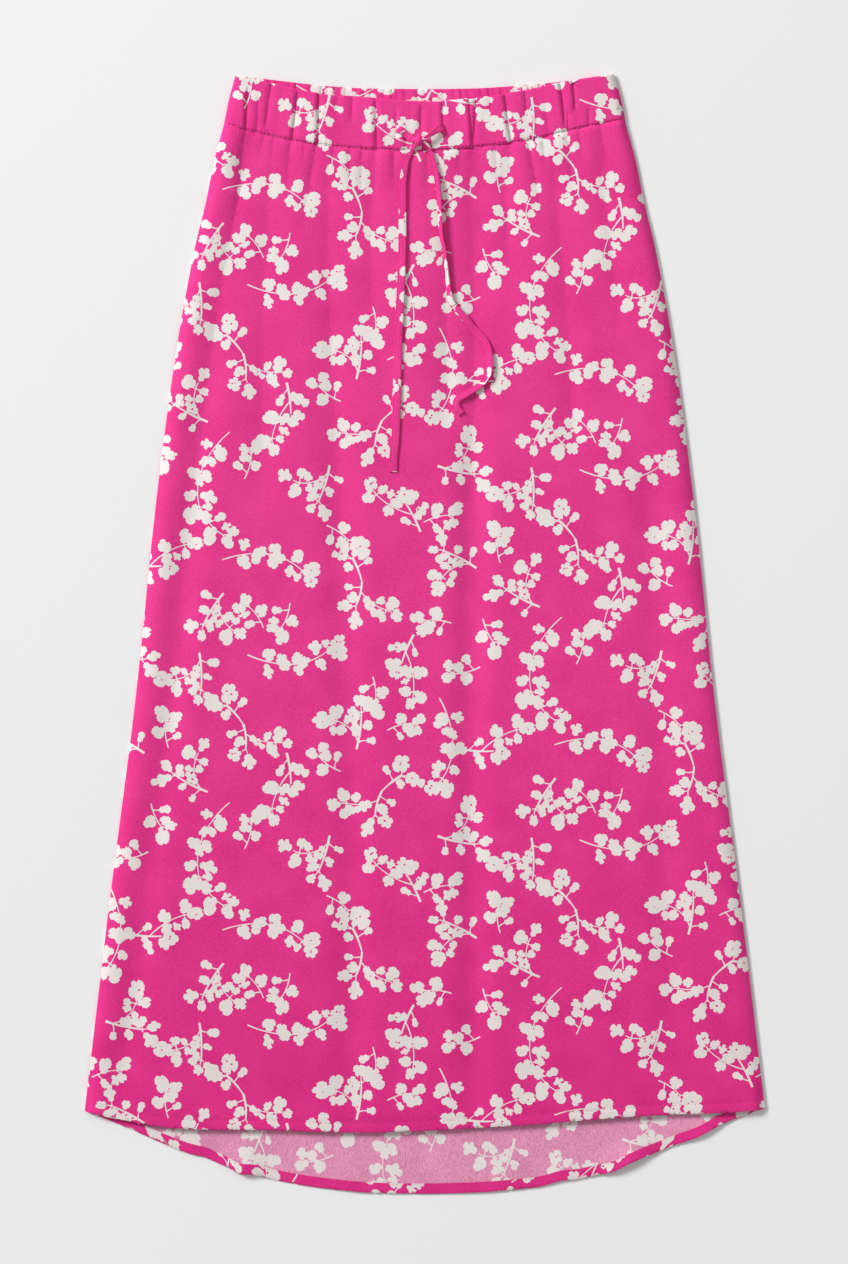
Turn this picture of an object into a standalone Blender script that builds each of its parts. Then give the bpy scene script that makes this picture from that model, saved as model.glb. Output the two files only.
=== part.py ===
# A maxi skirt laid flat: the front lies on the back, and the waist points to +Y.
# Metres. +X is to the right of someone looking down on it, +Z is up from the surface it lies on.
# "Across" is a share of the half width, from -1 at the left side seam to +1 at the right one.
# "Drop" is a distance down the skirt from the highest point of the waist.
import math
from collections import namedtuple

import bmesh
import bpy
from mathutils import Vector
from mathutils.bvhtree import BVHTree

# Cut
LENGTH = 1.030  # highest point of the waist to the lowest of the back hem
TOP_Y = LENGTH / 2
BAND_HEIGHT = 0.0445  # casing, waist edge to seam
HEM_DEPTH = 0.0090  # turn-up of the hems

# Cloth, as walls
CLOTH = 0.0010
CASING = 0.0018  # two layers of cloth over an elastic
SEAM_GAP = 0.0003

# How the layers lie
PANEL_LOFT = 0.0028  # air under the front, between its folds
SEAM_LOFT = 0.0012  # the same where the band holds it
BAND_LOFT = 0.0012
SIDE_ROUND = 0.014  # how far in from a side seam the front has rounded over
SEAM_EASE = 0.045  # how far below the seam the front has settled
HEM_EASE = 0.040  # how far above its turn-up the front starts to rise over it
CORNER = (0.78, 0.88)  # across, where the front hem climbs over the back hem's turn-up
SIDE_CLIMB = 0.010  # how far in from a side seam the front has climbed over what lies under it

# Tie and buttonholes
TIE_WIDTH = 0.0074
TIE_THICKNESS = 0.0011
TIE_STEP = 0.009  # along a tail, between its sections
TIE_REACH = 0.006  # a section clears the highest cloth this near to it
KNOT_SIZE = Vector((0.0135, 0.0115, 0.0058))
KNOT_CENTRE = Vector((-0.0030, TOP_Y - 0.0615, 0.0))  # its height comes from the casing under it
TIE_NECK = 0.0046  # the tie bunched where it enters and leaves the knot
NECK_REACH = 0.030  # how far from the knot a tail has its full width again
BUTTONHOLE = Vector((0.0019, 0.0112, 0.0120))  # width, height, and the cutter's depth
BUTTONHOLE_DROP = 0.0485
LINK_DROP = 0.0500  # the tie lies towards the lower end of its buttonhole
BUTTONHOLE_X = {"left": -0.0253, "right": 0.0170}

# Gathers of the back casing
GATHERS = 44
GATHER_SECTIONS = 5  # columns to a gather
GATHER_HEIGHT = 0.0008
GATHER_FADE = 0.006  # how far in from a side seam the gathers have their full height

PINK = (0.723, 0.045, 0.242)
PALE_PINK = (0.66, 0.19, 0.40)

Side = namedtuple("Side", "drop half_width")
SIDES = (
    Side(0.000, 0.1737),
    Side(0.024, 0.1803),
    Side(0.047, 0.1850),
    Side(0.079, 0.1935),
    Side(0.116, 0.2010),
    Side(0.162, 0.2121),
    Side(0.254, 0.2286),
    Side(0.392, 0.2470),
    Side(0.576, 0.2663),
    Side(0.760, 0.2898),
    Side(0.955, 0.3131),
)

Waist = namedtuple("Waist", "across back_top front_top seam")
WAIST = (
    Waist(-1.00, 0.0018, 0.0028, 0.0455),
    Waist(-0.80, 0.0055, 0.0090, 0.0545),
    Waist(-0.55, 0.0105, 0.0185, 0.0635),
    Waist(-0.35, 0.0130, 0.0210, 0.0675),
    Waist(-0.10, 0.0138, 0.0248, 0.0695),
    Waist(0.10, 0.0138, 0.0252, 0.0693),
    Waist(0.30, 0.0130, 0.0215, 0.0655),
    Waist(0.50, 0.0105, 0.0160, 0.0605),
    Waist(0.75, 0.0065, 0.0070, 0.0500),
    Waist(1.00, 0.0000, 0.0004, 0.0415),
)

Hem = namedtuple("Hem", "across front back")
HEMS = (
    Hem(-1.00, 0.9540, 0.9540),
    Hem(-0.90, 0.9610, 0.9660),
    Hem(-0.72, 0.9695, 0.9900),
    Hem(-0.45, 0.9710, 1.0165),
    Hem(-0.22, 0.9732, 1.0275),
    Hem(0.00, 0.9715, 1.0300),
    Hem(0.25, 0.9672, 1.0265),
    Hem(0.45, 0.9625, 1.0172),
    Hem(0.70, 0.9570, 0.9895),
    Hem(0.88, 0.9550, 0.9650),
    Hem(1.00, 0.9520, 0.9520),
)

# Troughs of the front: across at the start, halfway and at the end, drops of both ends, and size.
Fold = namedtuple("Fold", "top middle foot start end depth width")
FOLDS = (
    Fold(-0.850, -0.872, -0.910, 0.03, 1.10, 0.0022, 0.011),
    Fold(-0.755, -0.665, -0.590, 0.03, 0.42, 0.0015, 0.012),
    Fold(-0.490, -0.268, -0.222, 0.03, 1.10, 0.0020, 0.013),
    Fold(-0.275, -0.240, -0.210, 0.03, 0.27, 0.0014, 0.010),
    Fold(-0.070, -0.062, -0.058, 0.03, 0.26, 0.0012, 0.009),
    Fold(0.094, 0.090, 0.086, 0.03, 0.36, 0.0023, 0.010),
    Fold(0.236, 0.160, 0.150, 0.03, 1.10, 0.0026, 0.011),
    Fold(0.385, 0.365, 0.345, 0.03, 0.22, 0.0017, 0.009),
    Fold(0.613, 0.585, 0.565, 0.03, 0.38, 0.0016, 0.011),
    Fold(0.850, 0.812, 0.780, 0.03, 0.26, 0.0015, 0.010),
    Fold(0.850, 0.775, 0.690, 0.36, 1.10, 0.0016, 0.014),
)
FOLD_FADE = 0.080  # a fold dies out over this much of its lower end
FOLD_SHOULDER = 0.22  # height of the ridge on each side of a trough, as a share of its depth
HEM_FOLD_SHARE = 0.45  # how much of a fold's depth the sewn hem lets through
HEM_LOFT = (0.60, 0.30)  # loft at the hem as a share of the panel's, in the middle and at the corners

# Gathers of the front casing: across at its top edge and at the seam, and size.
Gather = namedtuple("Gather", "top seam depth width")
FRONT_GATHERS = (
    Gather(-0.905, -0.890, 0.0011, 0.0036),
    Gather(-0.840, -0.845, 0.0006, 0.0030),
    Gather(-0.795, -0.800, 0.0007, 0.0032),
    Gather(-0.665, -0.655, 0.0011, 0.0038),
    Gather(-0.535, -0.530, 0.0012, 0.0042),
    Gather(-0.355, -0.350, 0.0008, 0.0034),
    Gather(-0.235, -0.240, 0.0007, 0.0032),
    Gather(-0.015, -0.020, 0.0006, 0.0032),
    Gather(0.150, 0.165, 0.0008, 0.0032),
    Gather(0.220, 0.240, 0.0012, 0.0040),
    Gather(0.410, 0.425, 0.0012, 0.0040),
    Gather(0.505, 0.510, 0.0006, 0.0030),
    Gather(0.690, 0.695, 0.0010, 0.0036),
    Gather(0.760, 0.745, 0.0010, 0.0034),
)

# Places where the back hem stands a little off the surface.
Lift = namedtuple("Lift", "across width height")
BACK_LIFTS = (
    Lift(-0.62, 0.13, 0.0020),
    Lift(-0.18, 0.10, 0.0009),
    Lift(0.20, 0.11, 0.0008),
    Lift(0.64, 0.12, 0.0022),
)

# The tie's tails on the front, from the knot to the free end.
Point = namedtuple("Point", "x drop")
LEFT_TAIL = (
    Point(-0.0092, 0.0655), Point(-0.0134, 0.0734), Point(-0.0180, 0.0850), Point(-0.0204, 0.1030),
    Point(-0.0206, 0.1300), Point(-0.0207, 0.1527), Point(-0.0212, 0.1730), Point(-0.0224, 0.2006),
    Point(-0.0234, 0.2230), Point(-0.0244, 0.2447), Point(-0.0251, 0.2700), Point(-0.0258, 0.2953),
    Point(-0.0264, 0.3150), Point(-0.0271, 0.3349), Point(-0.0286, 0.3500), Point(-0.0294, 0.3662),
)
RIGHT_TAIL = (
    Point(0.0030, 0.0665), Point(0.0055, 0.0745), Point(0.0096, 0.0892), Point(0.0120, 0.1058),
    Point(0.0133, 0.1224), Point(0.0147, 0.1472), Point(0.0175, 0.1601), Point(0.0193, 0.1766),
    Point(0.0212, 0.1932), Point(0.0235, 0.2079), Point(0.0285, 0.2162), Point(0.0368, 0.2254),
    Point(0.0442, 0.2346), Point(0.0515, 0.2420), Point(0.0570, 0.2512), Point(0.0594, 0.2631),
    Point(0.0589, 0.2760), Point(0.0534, 0.2843), Point(0.0442, 0.2907), Point(0.0359, 0.2958),
    Point(0.0295, 0.3000), Point(0.0290, 0.3065), Point(0.0331, 0.3128),
)


def mix(a, b, share):
    return a + (b - a) * share


def ease(value, start, end):
    """0 before start, 1 after end, and a soft step between them."""
    share = min(max((value - start) / (end - start), 0.0), 1.0)
    return share * share * (3 - 2 * share)


def hump(distance, width):
    return math.exp(-((distance / width) ** 2))


def read(rows, column, at):
    """A column of a table at any place in its first column, on a smooth curve through the rows."""
    places = [row[0] for row in rows]
    values = [getattr(row, column) for row in rows]
    at = min(max(at, places[0]), places[-1])
    last = len(rows) - 1
    slopes = []
    for i in range(last + 1):
        before, after = max(i - 1, 0), min(i + 1, last)
        slopes.append((values[after] - values[before]) / (places[after] - places[before]))
    i = next(i for i in range(last) if at <= places[i + 1])
    span = places[i + 1] - places[i]
    t = (at - places[i]) / span
    bend = (2 * t**3 - 3 * t**2 + 1) * values[i] + (3 * t**2 - 2 * t**3) * values[i + 1]
    return bend + span * ((t**3 - 2 * t**2 + t) * slopes[i] + (t**3 - t**2) * slopes[i + 1])


def half_width(drop):
    return read(SIDES, "half_width", drop)


def from_side(across, drop):
    return (1 - abs(across)) * half_width(drop)


def place(across, drop, height):
    return Vector((across * half_width(drop), TOP_Y - drop, height))


# Edges of the pieces, as drops
def front_band_top(across):
    return read(WAIST, "front_top", across)


def front_seam(across):
    return read(WAIST, "seam", across)


def back_band_top(across):
    return read(WAIST, "back_top", across)


def back_seam(across):
    return back_band_top(across) + BAND_HEIGHT


def front_hem(across):
    return read(HEMS, "front", across)


def back_hem(across):
    return read(HEMS, "back", across)


# Undersides of the layers, as heights
def back_height(across, drop):
    """The back lies flat, and only its hem stands off the surface here and there."""
    free = ease(drop, front_hem(across) + SEAM_GAP, back_hem(across) + 0.012)
    return free * sum(lift.height * hump(across - lift.across, lift.width) for lift in BACK_LIFTS)


def gather_phase(across):
    """Turns of the gathering wave up to this place, unevenly spaced as gathers are."""
    turns = GATHERS * (across + 1) / 2
    return turns + 0.22 * math.sin(1.7 * turns) + 0.12 * math.sin(0.61 * turns + 1.0)


def back_band_height(across, drop):
    wave = 0.5 - 0.5 * math.cos(2 * math.pi * gather_phase(across))
    fade = ease(from_side(across, drop), 0.0, GATHER_FADE)
    return GATHER_HEIGHT * wave * fade * (0.8 + 0.2 * math.sin(5.3 * across + 0.7))


def fold_depth(across, drop):
    """How far the folds pull the front down here. Negative on the ridges beside them."""
    total = 0.0
    for fold in FOLDS:
        share = (drop - fold.start) / (fold.end - fold.start)
        if not 0 <= share <= 1:
            continue
        upper = mix(fold.top, fold.middle, 2 * share)
        lower = mix(fold.middle, fold.foot, 2 * share - 1)
        centre = mix(upper, lower, share)
        away = (across - centre) * half_width(drop)
        live = 1 - ease(drop, fold.end - FOLD_FADE, fold.end)
        live *= ease(drop, fold.start, fold.start + 0.02)
        shoulders = hump(away - 2 * fold.width, fold.width) + hump(away + 2 * fold.width, fold.width)
        total += live * fold.depth * (hump(away, fold.width) - FOLD_SHOULDER * shoulders)
    return total


def band_rest(across, drop):
    """Lowest a front piece may lie over the back casing."""
    return CASING + SEAM_GAP + GATHER_HEIGHT * ease(from_side(across, drop), 0.0, GATHER_FADE)


def front_rest(across, drop):
    """Lowest the front may lie: on the back, on the back casing, or on the turned-up hems."""
    on_back = CLOTH + SEAM_GAP
    on_band = band_rest(across, drop)
    turn_ups = 1 + ease(abs(across), *CORNER)
    on_hem = on_back + turn_ups * (CLOTH + SEAM_GAP) * ease(from_side(across, drop), 0.0, SIDE_CLIMB)
    seam = front_seam(across)
    turned = front_hem(across) - HEM_DEPTH
    height = mix(on_band, on_back, ease(drop, seam + 0.010, seam + SEAM_EASE))
    return mix(height, on_hem, ease(drop, turned - HEM_EASE, turned))


def front_height(across, drop):
    seam = front_seam(across)
    near_hem = ease(drop, front_hem(across) - 2 * HEM_EASE, front_hem(across) - HEM_DEPTH)
    loft = mix(SEAM_LOFT, PANEL_LOFT, ease(drop, seam, seam + SEAM_EASE))
    loft = mix(loft, mix(*HEM_LOFT, ease(abs(across), *CORNER)) * PANEL_LOFT, near_hem)
    allowed = mix(SEAM_LOFT / PANEL_LOFT, 1.0, ease(drop, seam, seam + SEAM_EASE))
    allowed = mix(allowed, HEM_FOLD_SHARE, near_hem)
    over = 1 - max(1 - from_side(across, drop) / SIDE_ROUND, 0.0) ** 2.2
    return front_rest(across, drop) + over * (loft - allowed * fold_depth(across, drop))


def front_band_height(across, drop):
    share = (drop - front_band_top(across)) / (front_seam(across) - front_band_top(across))
    pulled = 0.0
    for gather in FRONT_GATHERS:
        away = (across - mix(gather.top, gather.seam, share)) * half_width(drop)
        shoulders = hump(away - 2 * gather.width, gather.width) + hump(away + 2 * gather.width, gather.width)
        pulled += gather.depth * (hump(away, gather.width) - FOLD_SHOULDER * shoulders)
    over = 1 - max(1 - from_side(across, drop) / (0.7 * SIDE_ROUND), 0.0) ** 2.2
    return band_rest(across, drop) + over * (BAND_LOFT - pulled)


# Building
def crowded(share, crowding):
    """0 to 1 in steps that close up towards both ends."""
    turned = 2 * share - 1
    return ((1 - crowding) * turned + crowding * math.sin(turned * math.pi / 2) + 1) / 2


def cloth_material(name, colour, roughness):
    material = bpy.data.materials.new(name)
    material.use_nodes = True
    shader = material.node_tree.nodes["Principled BSDF"]
    shader.inputs["Base Color"].default_value = (*colour, 1)
    shader.inputs["Roughness"].default_value = roughness
    shader.inputs["Metallic"].default_value = 0.0
    return material


def sheet(name, columns, rows, spot, wall, offset, material):
    """A grid laid out by spot(u, v), from the left side and the waist, and given its wall."""
    bm = bmesh.new()
    bmesh.ops.create_grid(bm, x_segments=columns, y_segments=rows, size=1.0)
    for vert in bm.verts:
        vert.co = spot((vert.co.x + 1) / 2, (1 - vert.co.y) / 2)
    mesh = bpy.data.meshes.new(name)
    bm.to_mesh(mesh)
    bm.free()
    mesh.shade_smooth()
    mesh.materials.append(material)
    piece = bpy.data.objects.new(name, mesh)
    skirt.objects.link(piece)
    piece.parent = root
    solidify = piece.modifiers.new("wall", "SOLIDIFY")
    solidify.thickness = wall
    solidify.offset = offset
    return piece


def panel_spot(top, hem, height, rows, crowding):
    """Rows close up towards the waist and the hem, and the last one is the hem's turn-up."""
    turn = 1 - 1 / rows

    def spot(u, v):
        across = 2 * crowded(u, crowding) - 1
        start, end = top(across) + SEAM_GAP, hem(across) - HEM_DEPTH
        if v <= turn:
            drop = mix(start, end, crowded(v / turn, 0.6))
        else:
            drop = end + HEM_DEPTH * (v - turn) * rows
        return place(across, drop, height(across, drop))

    return spot


def turn_up_spot(hem, height, columns, crowding, short):
    """A strip along a hem, on the same columns as its panel less some at each end."""

    def spot(u, v):
        column = mix(short, columns - short, u) / columns
        across = 2 * crowded(column, crowding) - 1
        drop = hem(across) - HEM_DEPTH * (1 - v)
        return place(across, drop, height(across, drop))

    return spot


def band_spot(top, seam, height):
    def spot(u, v):
        across = 2 * u - 1
        drop = mix(top(across), seam(across), v)
        return place(across, drop, height(across, drop))

    return spot


def build_back():
    columns, rows, crowding = 44, 10, 0.25
    sheet(
        "back_panel", columns, rows,
        panel_spot(back_seam, back_hem, back_height, rows, crowding), CLOTH, 1, pink,
    )
    above = CLOTH + SEAM_GAP
    sheet(
        "back_hem", columns - 2, 1,
        turn_up_spot(back_hem, lambda a, d: back_height(a, d) + above, columns, crowding, 1),
        CLOTH, 1, pink,
    )
    sheet(
        "back_waistband", GATHERS * GATHER_SECTIONS, 2,
        band_spot(back_band_top, back_seam, back_band_height), CASING, 1, pink,
    )


def build_front():
    columns, rows, crowding = 78, 18, 0.30
    panel = sheet(
        "front_panel", columns, rows,
        panel_spot(front_seam, front_hem, front_height, rows, crowding), CLOTH, 1, pink,
    )
    sheet(
        "front_hem", columns - 2, 1,
        turn_up_spot(front_hem, lambda a, d: front_height(a, d) - SEAM_GAP, columns, crowding, 1),
        CLOTH, -1, pale_pink,
    )
    band = sheet(
        "front_waistband", 132, 4,
        band_spot(front_band_top, front_seam, front_band_height), CASING, 1, pink,
    )
    for x in BUTTONHOLE_X.values():
        cut_buttonhole(band, x)
    return panel, band


def cut_buttonhole(band, x):
    bm = bmesh.new()
    bmesh.ops.create_cube(bm, size=1.0)
    bmesh.ops.scale(bm, vec=BUTTONHOLE, verts=bm.verts)
    mesh = bpy.data.meshes.new("buttonhole_cutter")
    bm.to_mesh(mesh)
    bm.free()
    cutter = bpy.data.objects.new("buttonhole_cutter", mesh)
    cutter.location = (x, TOP_Y - BUTTONHOLE_DROP, CASING + BUTTONHOLE.z / 2)
    cutter.hide_render = True
    cutter.display_type = "WIRE"
    cutters.objects.link(cutter)
    cut = band.modifiers.new("buttonhole", "BOOLEAN")
    cut.operation = "DIFFERENCE"
    cut.object = cutter


def cloth_top(trees, x, y):
    """Height of the uppermost cloth here, or 0 over a seam's gap."""
    found = [tree.ray_cast(Vector((x, y, 1.0)), Vector((0, 0, -1)))[0] for tree in trees]
    return max((hit.z for hit in found if hit is not None), default=0.0)


def walk(route, step):
    """Evenly spaced places on a smooth curve through a route, with the way it runs at each."""
    points = [Vector((point.x, TOP_Y - point.drop)) for point in route]
    fine = []
    for i in range(len(points) - 1):
        before, after = points[max(i - 1, 0)], points[min(i + 2, len(points) - 1)]
        for k in range(12):
            t = k / 12
            left, right = (points[i + 1] - before) / 2, (after - points[i]) / 2
            fine.append(
                (2 * t**3 - 3 * t**2 + 1) * points[i] + (3 * t**2 - 2 * t**3) * points[i + 1]
                + (t**3 - 2 * t**2 + t) * left + (t**3 - t**2) * right
            )
    fine.append(points[-1])
    reach = [0.0]
    for a, b in zip(fine, fine[1:]):
        reach.append(reach[-1] + (b - a).length)
    count = round(reach[-1] / step)
    stops = []
    for k in range(count + 1):
        at = reach[-1] * k / count
        i = min(next(i for i, r in enumerate(reach) if r >= at - 1e-9), len(fine) - 2)
        i = max(i, 1)
        stops.append((fine[i - 1].lerp(fine[i], (at - reach[i - 1]) / (reach[i] - reach[i - 1])),
                      (fine[i + 1] - fine[i - 1]).normalized()))
    return stops


def ribbon(name, sections):
    """A flat tie through sections, each a centre, the way its width lies, and its width."""

    def spot(u, v):
        centre, side, width = sections[round(v * (len(sections) - 1))]
        return centre + side * width * (u - 0.5)

    return sheet(name, 2, len(sections) - 1, spot, TIE_THICKNESS, 0, pink)


def build_tail(name, route, trees):
    sections = []
    for i, (at, way) in enumerate(walk(route, TIE_STEP)):
        side = Vector((-way.y, way.x, 0))
        near = [
            at + way * (TIE_REACH * k / 2) + side.xy * (TIE_WIDTH * j / 4)
            for k in range(-2, 3) for j in range(-2, 3)
        ]
        height = max(cloth_top(trees, spot.x, spot.y) for spot in near)
        centre = Vector((at.x, at.y, height + SEAM_GAP + TIE_THICKNESS / 2))
        width = mix(TIE_NECK, TIE_WIDTH, ease(i * TIE_STEP, 0.0, NECK_REACH))
        sections.append((centre, side, width))
    return ribbon(name, sections)


def build_knot(trees):
    """A single knot pulled soft: a rounded lump, pinched at its middle."""
    corners = [(x, y) for x in (-1, 0, 1) for y in (-1, 0, 1)]
    lift = SEAM_GAP + KNOT_SIZE.z / 2 + max(
        cloth_top(trees, KNOT_CENTRE.x + x * KNOT_SIZE.x / 2, KNOT_CENTRE.y + y * KNOT_SIZE.y / 2)
        for x, y in corners
    )
    bm = bmesh.new()
    bmesh.ops.create_uvsphere(bm, u_segments=16, v_segments=10, radius=0.5)
    for vert in bm.verts:
        pinch = 1 - 0.18 * hump(vert.co.x, 0.16)
        vert.co = Vector((
            vert.co.x * KNOT_SIZE.x,
            (vert.co.y * pinch + 0.10 * vert.co.x) * KNOT_SIZE.y,
            vert.co.z * pinch * KNOT_SIZE.z,
        ))
    mesh = bpy.data.meshes.new("tie_knot")
    bm.to_mesh(mesh)
    bm.free()
    mesh.shade_smooth()
    mesh.materials.append(pink)
    knot = bpy.data.objects.new("tie_knot", mesh)
    knot.location = (KNOT_CENTRE.x, KNOT_CENTRE.y, lift)
    skirt.objects.link(knot)
    knot.parent = root
    return lift


def build_link(side, trees, knot_height):
    """The tie rises through its buttonhole, turns over its end and runs to the knot."""
    x, y = BUTTONHOLE_X[side], TOP_Y - LINK_DROP
    towards = math.copysign(1, KNOT_CENTRE.x - x)
    mouth = Vector((x, y, cloth_top(trees, x + towards * 0.004, y)))
    knot_face = KNOT_CENTRE + Vector((-towards * (KNOT_SIZE.x / 2 + 0.0006), 0.001, knot_height))
    upright = Vector((0, 1, 0))
    sections = [
        (mouth + Vector((0, 0, -0.0012)), upright, TIE_WIDTH),
        (mouth + Vector((0, 0, 0.0006)), upright, TIE_WIDTH),
        (mouth + Vector((towards * 0.0006, -0.0004, 0.0018)), upright, TIE_WIDTH),
        (mouth + Vector((towards * 0.0022, -0.0014, 0.0026)), upright, TIE_WIDTH),
    ]
    start = sections[-1][0]
    for share in (0.35, 0.7, 1.0):
        centre = start.lerp(knot_face, share)
        centre.z = max(centre.z, start.z)
        sections.append((centre, upright, mix(TIE_WIDTH, TIE_NECK, share)))
    ribbon("tie_link_" + side, sections)


for old in list(bpy.data.objects):
    bpy.data.objects.remove(old, do_unlink=True)
skirt = bpy.data.collections.new("maxi_skirt")
cutters = bpy.data.collections.new("cutters")
bpy.context.scene.collection.children.link(skirt)
bpy.context.scene.collection.children.link(cutters)
root = bpy.data.objects.new("skirt", None)
skirt.objects.link(root)
pink = cloth_material("pink crepe", PINK, 0.85)
pale_pink = cloth_material("wrong side of the crepe", PALE_PINK, 0.9)

build_back()
front_pieces = build_front()
bpy.context.view_layer.update()
graph = bpy.context.evaluated_depsgraph_get()
front_trees = [BVHTree.FromObject(piece, graph) for piece in front_pieces]
build_tail("tie_tail_left", LEFT_TAIL, front_trees)
build_tail("tie_tail_right", RIGHT_TAIL, front_trees)
knot_height = build_knot(front_trees)
for side in BUTTONHOLE_X:
    build_link(side, front_trees, knot_height)
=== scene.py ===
import math
import random
from collections import namedtuple

import bmesh
import bpy
import numpy as np
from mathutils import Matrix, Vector, geometry
from mathutils.bvhtree import BVHTree


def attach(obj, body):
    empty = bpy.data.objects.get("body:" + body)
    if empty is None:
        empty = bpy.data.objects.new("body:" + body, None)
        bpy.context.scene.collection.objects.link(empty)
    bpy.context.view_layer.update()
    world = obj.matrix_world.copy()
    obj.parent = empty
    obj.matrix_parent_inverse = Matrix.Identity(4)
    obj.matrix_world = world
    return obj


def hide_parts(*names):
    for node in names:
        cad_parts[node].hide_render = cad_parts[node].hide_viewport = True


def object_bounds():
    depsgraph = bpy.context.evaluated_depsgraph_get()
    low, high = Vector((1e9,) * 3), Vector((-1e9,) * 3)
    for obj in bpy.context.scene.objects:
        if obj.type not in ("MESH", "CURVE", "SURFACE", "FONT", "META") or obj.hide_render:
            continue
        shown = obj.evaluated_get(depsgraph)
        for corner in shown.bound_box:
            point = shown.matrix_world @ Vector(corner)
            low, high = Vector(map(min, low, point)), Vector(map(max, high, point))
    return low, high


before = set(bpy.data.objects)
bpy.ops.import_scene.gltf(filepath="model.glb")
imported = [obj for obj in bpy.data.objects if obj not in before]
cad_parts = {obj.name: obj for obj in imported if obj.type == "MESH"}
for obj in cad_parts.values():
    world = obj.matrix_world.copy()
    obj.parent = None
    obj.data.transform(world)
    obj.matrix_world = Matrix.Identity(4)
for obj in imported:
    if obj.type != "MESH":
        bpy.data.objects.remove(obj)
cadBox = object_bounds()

# The skirt lies on z = 0 with its waist towards +y. "across" runs from -1 at the left side seam to +1
# at the right one, and "drop" is the distance down from the highest point of the waist, in metres.
topY = cadBox[1].y

cut = {
    "bandHeight": 0.0445,  # casing, from its top edge to the waist seam
    "hemDepth": 0.0090,
    "wall": 0.0010,  # the cloth and the casing as solids
    "casingWall": 0.0018,
    "gap": 0.0003,
    "thickness": 0.00042,  # the cloth as it shows
}

# form: the same tables and rules as the solids, then finer creases on top

# half the skirt's width at each drop
Side = namedtuple("Side", "drop halfWidth")
sides = [Side(*row) for row in (
    (0.0, 0.1737), (0.024, 0.1803), (0.047, 0.185), (0.079, 0.1935), (0.116, 0.201), (0.162, 0.2121),
    (0.254, 0.2286), (0.392, 0.247), (0.576, 0.2663), (0.76, 0.2898), (0.955, 0.3131),
)]
# the drops of the back casing's top edge, the front casing's, and the waist seam
Waist = namedtuple("Waist", "across backTop frontTop seam")
waist = [Waist(*row) for row in (
    (-1.0, 0.0018, 0.0028, 0.0455), (-0.8, 0.0055, 0.009, 0.0545), (-0.55, 0.0105, 0.0185, 0.0635),
    (-0.35, 0.013, 0.021, 0.0675), (-0.1, 0.0138, 0.0248, 0.0695), (0.1, 0.0138, 0.0252, 0.0693),
    (0.3, 0.013, 0.0215, 0.0655), (0.5, 0.0105, 0.016, 0.0605), (0.75, 0.0065, 0.007, 0.05),
    (1.0, 0.0, 0.0004, 0.0415),
)]
# the drops of the front and back hems
Hem = namedtuple("Hem", "across front back")
hems = [Hem(*row) for row in (
    (-1.0, 0.954, 0.954), (-0.9, 0.961, 0.966), (-0.72, 0.9695, 0.99), (-0.45, 0.971, 1.0165),
    (-0.22, 0.9732, 1.0275), (0.0, 0.9715, 1.03), (0.25, 0.9672, 1.0265), (0.45, 0.9625, 1.0172),
    (0.7, 0.957, 0.9895), (0.88, 0.955, 0.965), (1.0, 0.952, 0.952),
)]
# long folds of the front: where each lies across at its top, middle and foot, and the drops it runs between
Fold = namedtuple("Fold", "top middle foot start end depth width")
folds = [Fold(*row) for row in (
    (-0.85, -0.872, -0.91, 0.03, 1.1, 0.0022, 0.011), (-0.755, -0.665, -0.59, 0.03, 0.42, 0.0015, 0.012),
    (-0.49, -0.268, -0.222, 0.03, 1.1, 0.002, 0.013), (-0.275, -0.24, -0.21, 0.03, 0.27, 0.0014, 0.01),
    (-0.07, -0.062, -0.058, 0.03, 0.26, 0.0012, 0.009), (0.094, 0.09, 0.086, 0.03, 0.36, 0.0023, 0.01),
    (0.236, 0.16, 0.15, 0.03, 1.1, 0.0026, 0.011), (0.385, 0.365, 0.345, 0.03, 0.22, 0.0017, 0.009),
    (0.613, 0.585, 0.565, 0.03, 0.38, 0.0016, 0.011), (0.85, 0.812, 0.78, 0.03, 0.26, 0.0015, 0.01),
    (0.85, 0.775, 0.69, 0.36, 1.1, 0.0016, 0.014),
)]
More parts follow.
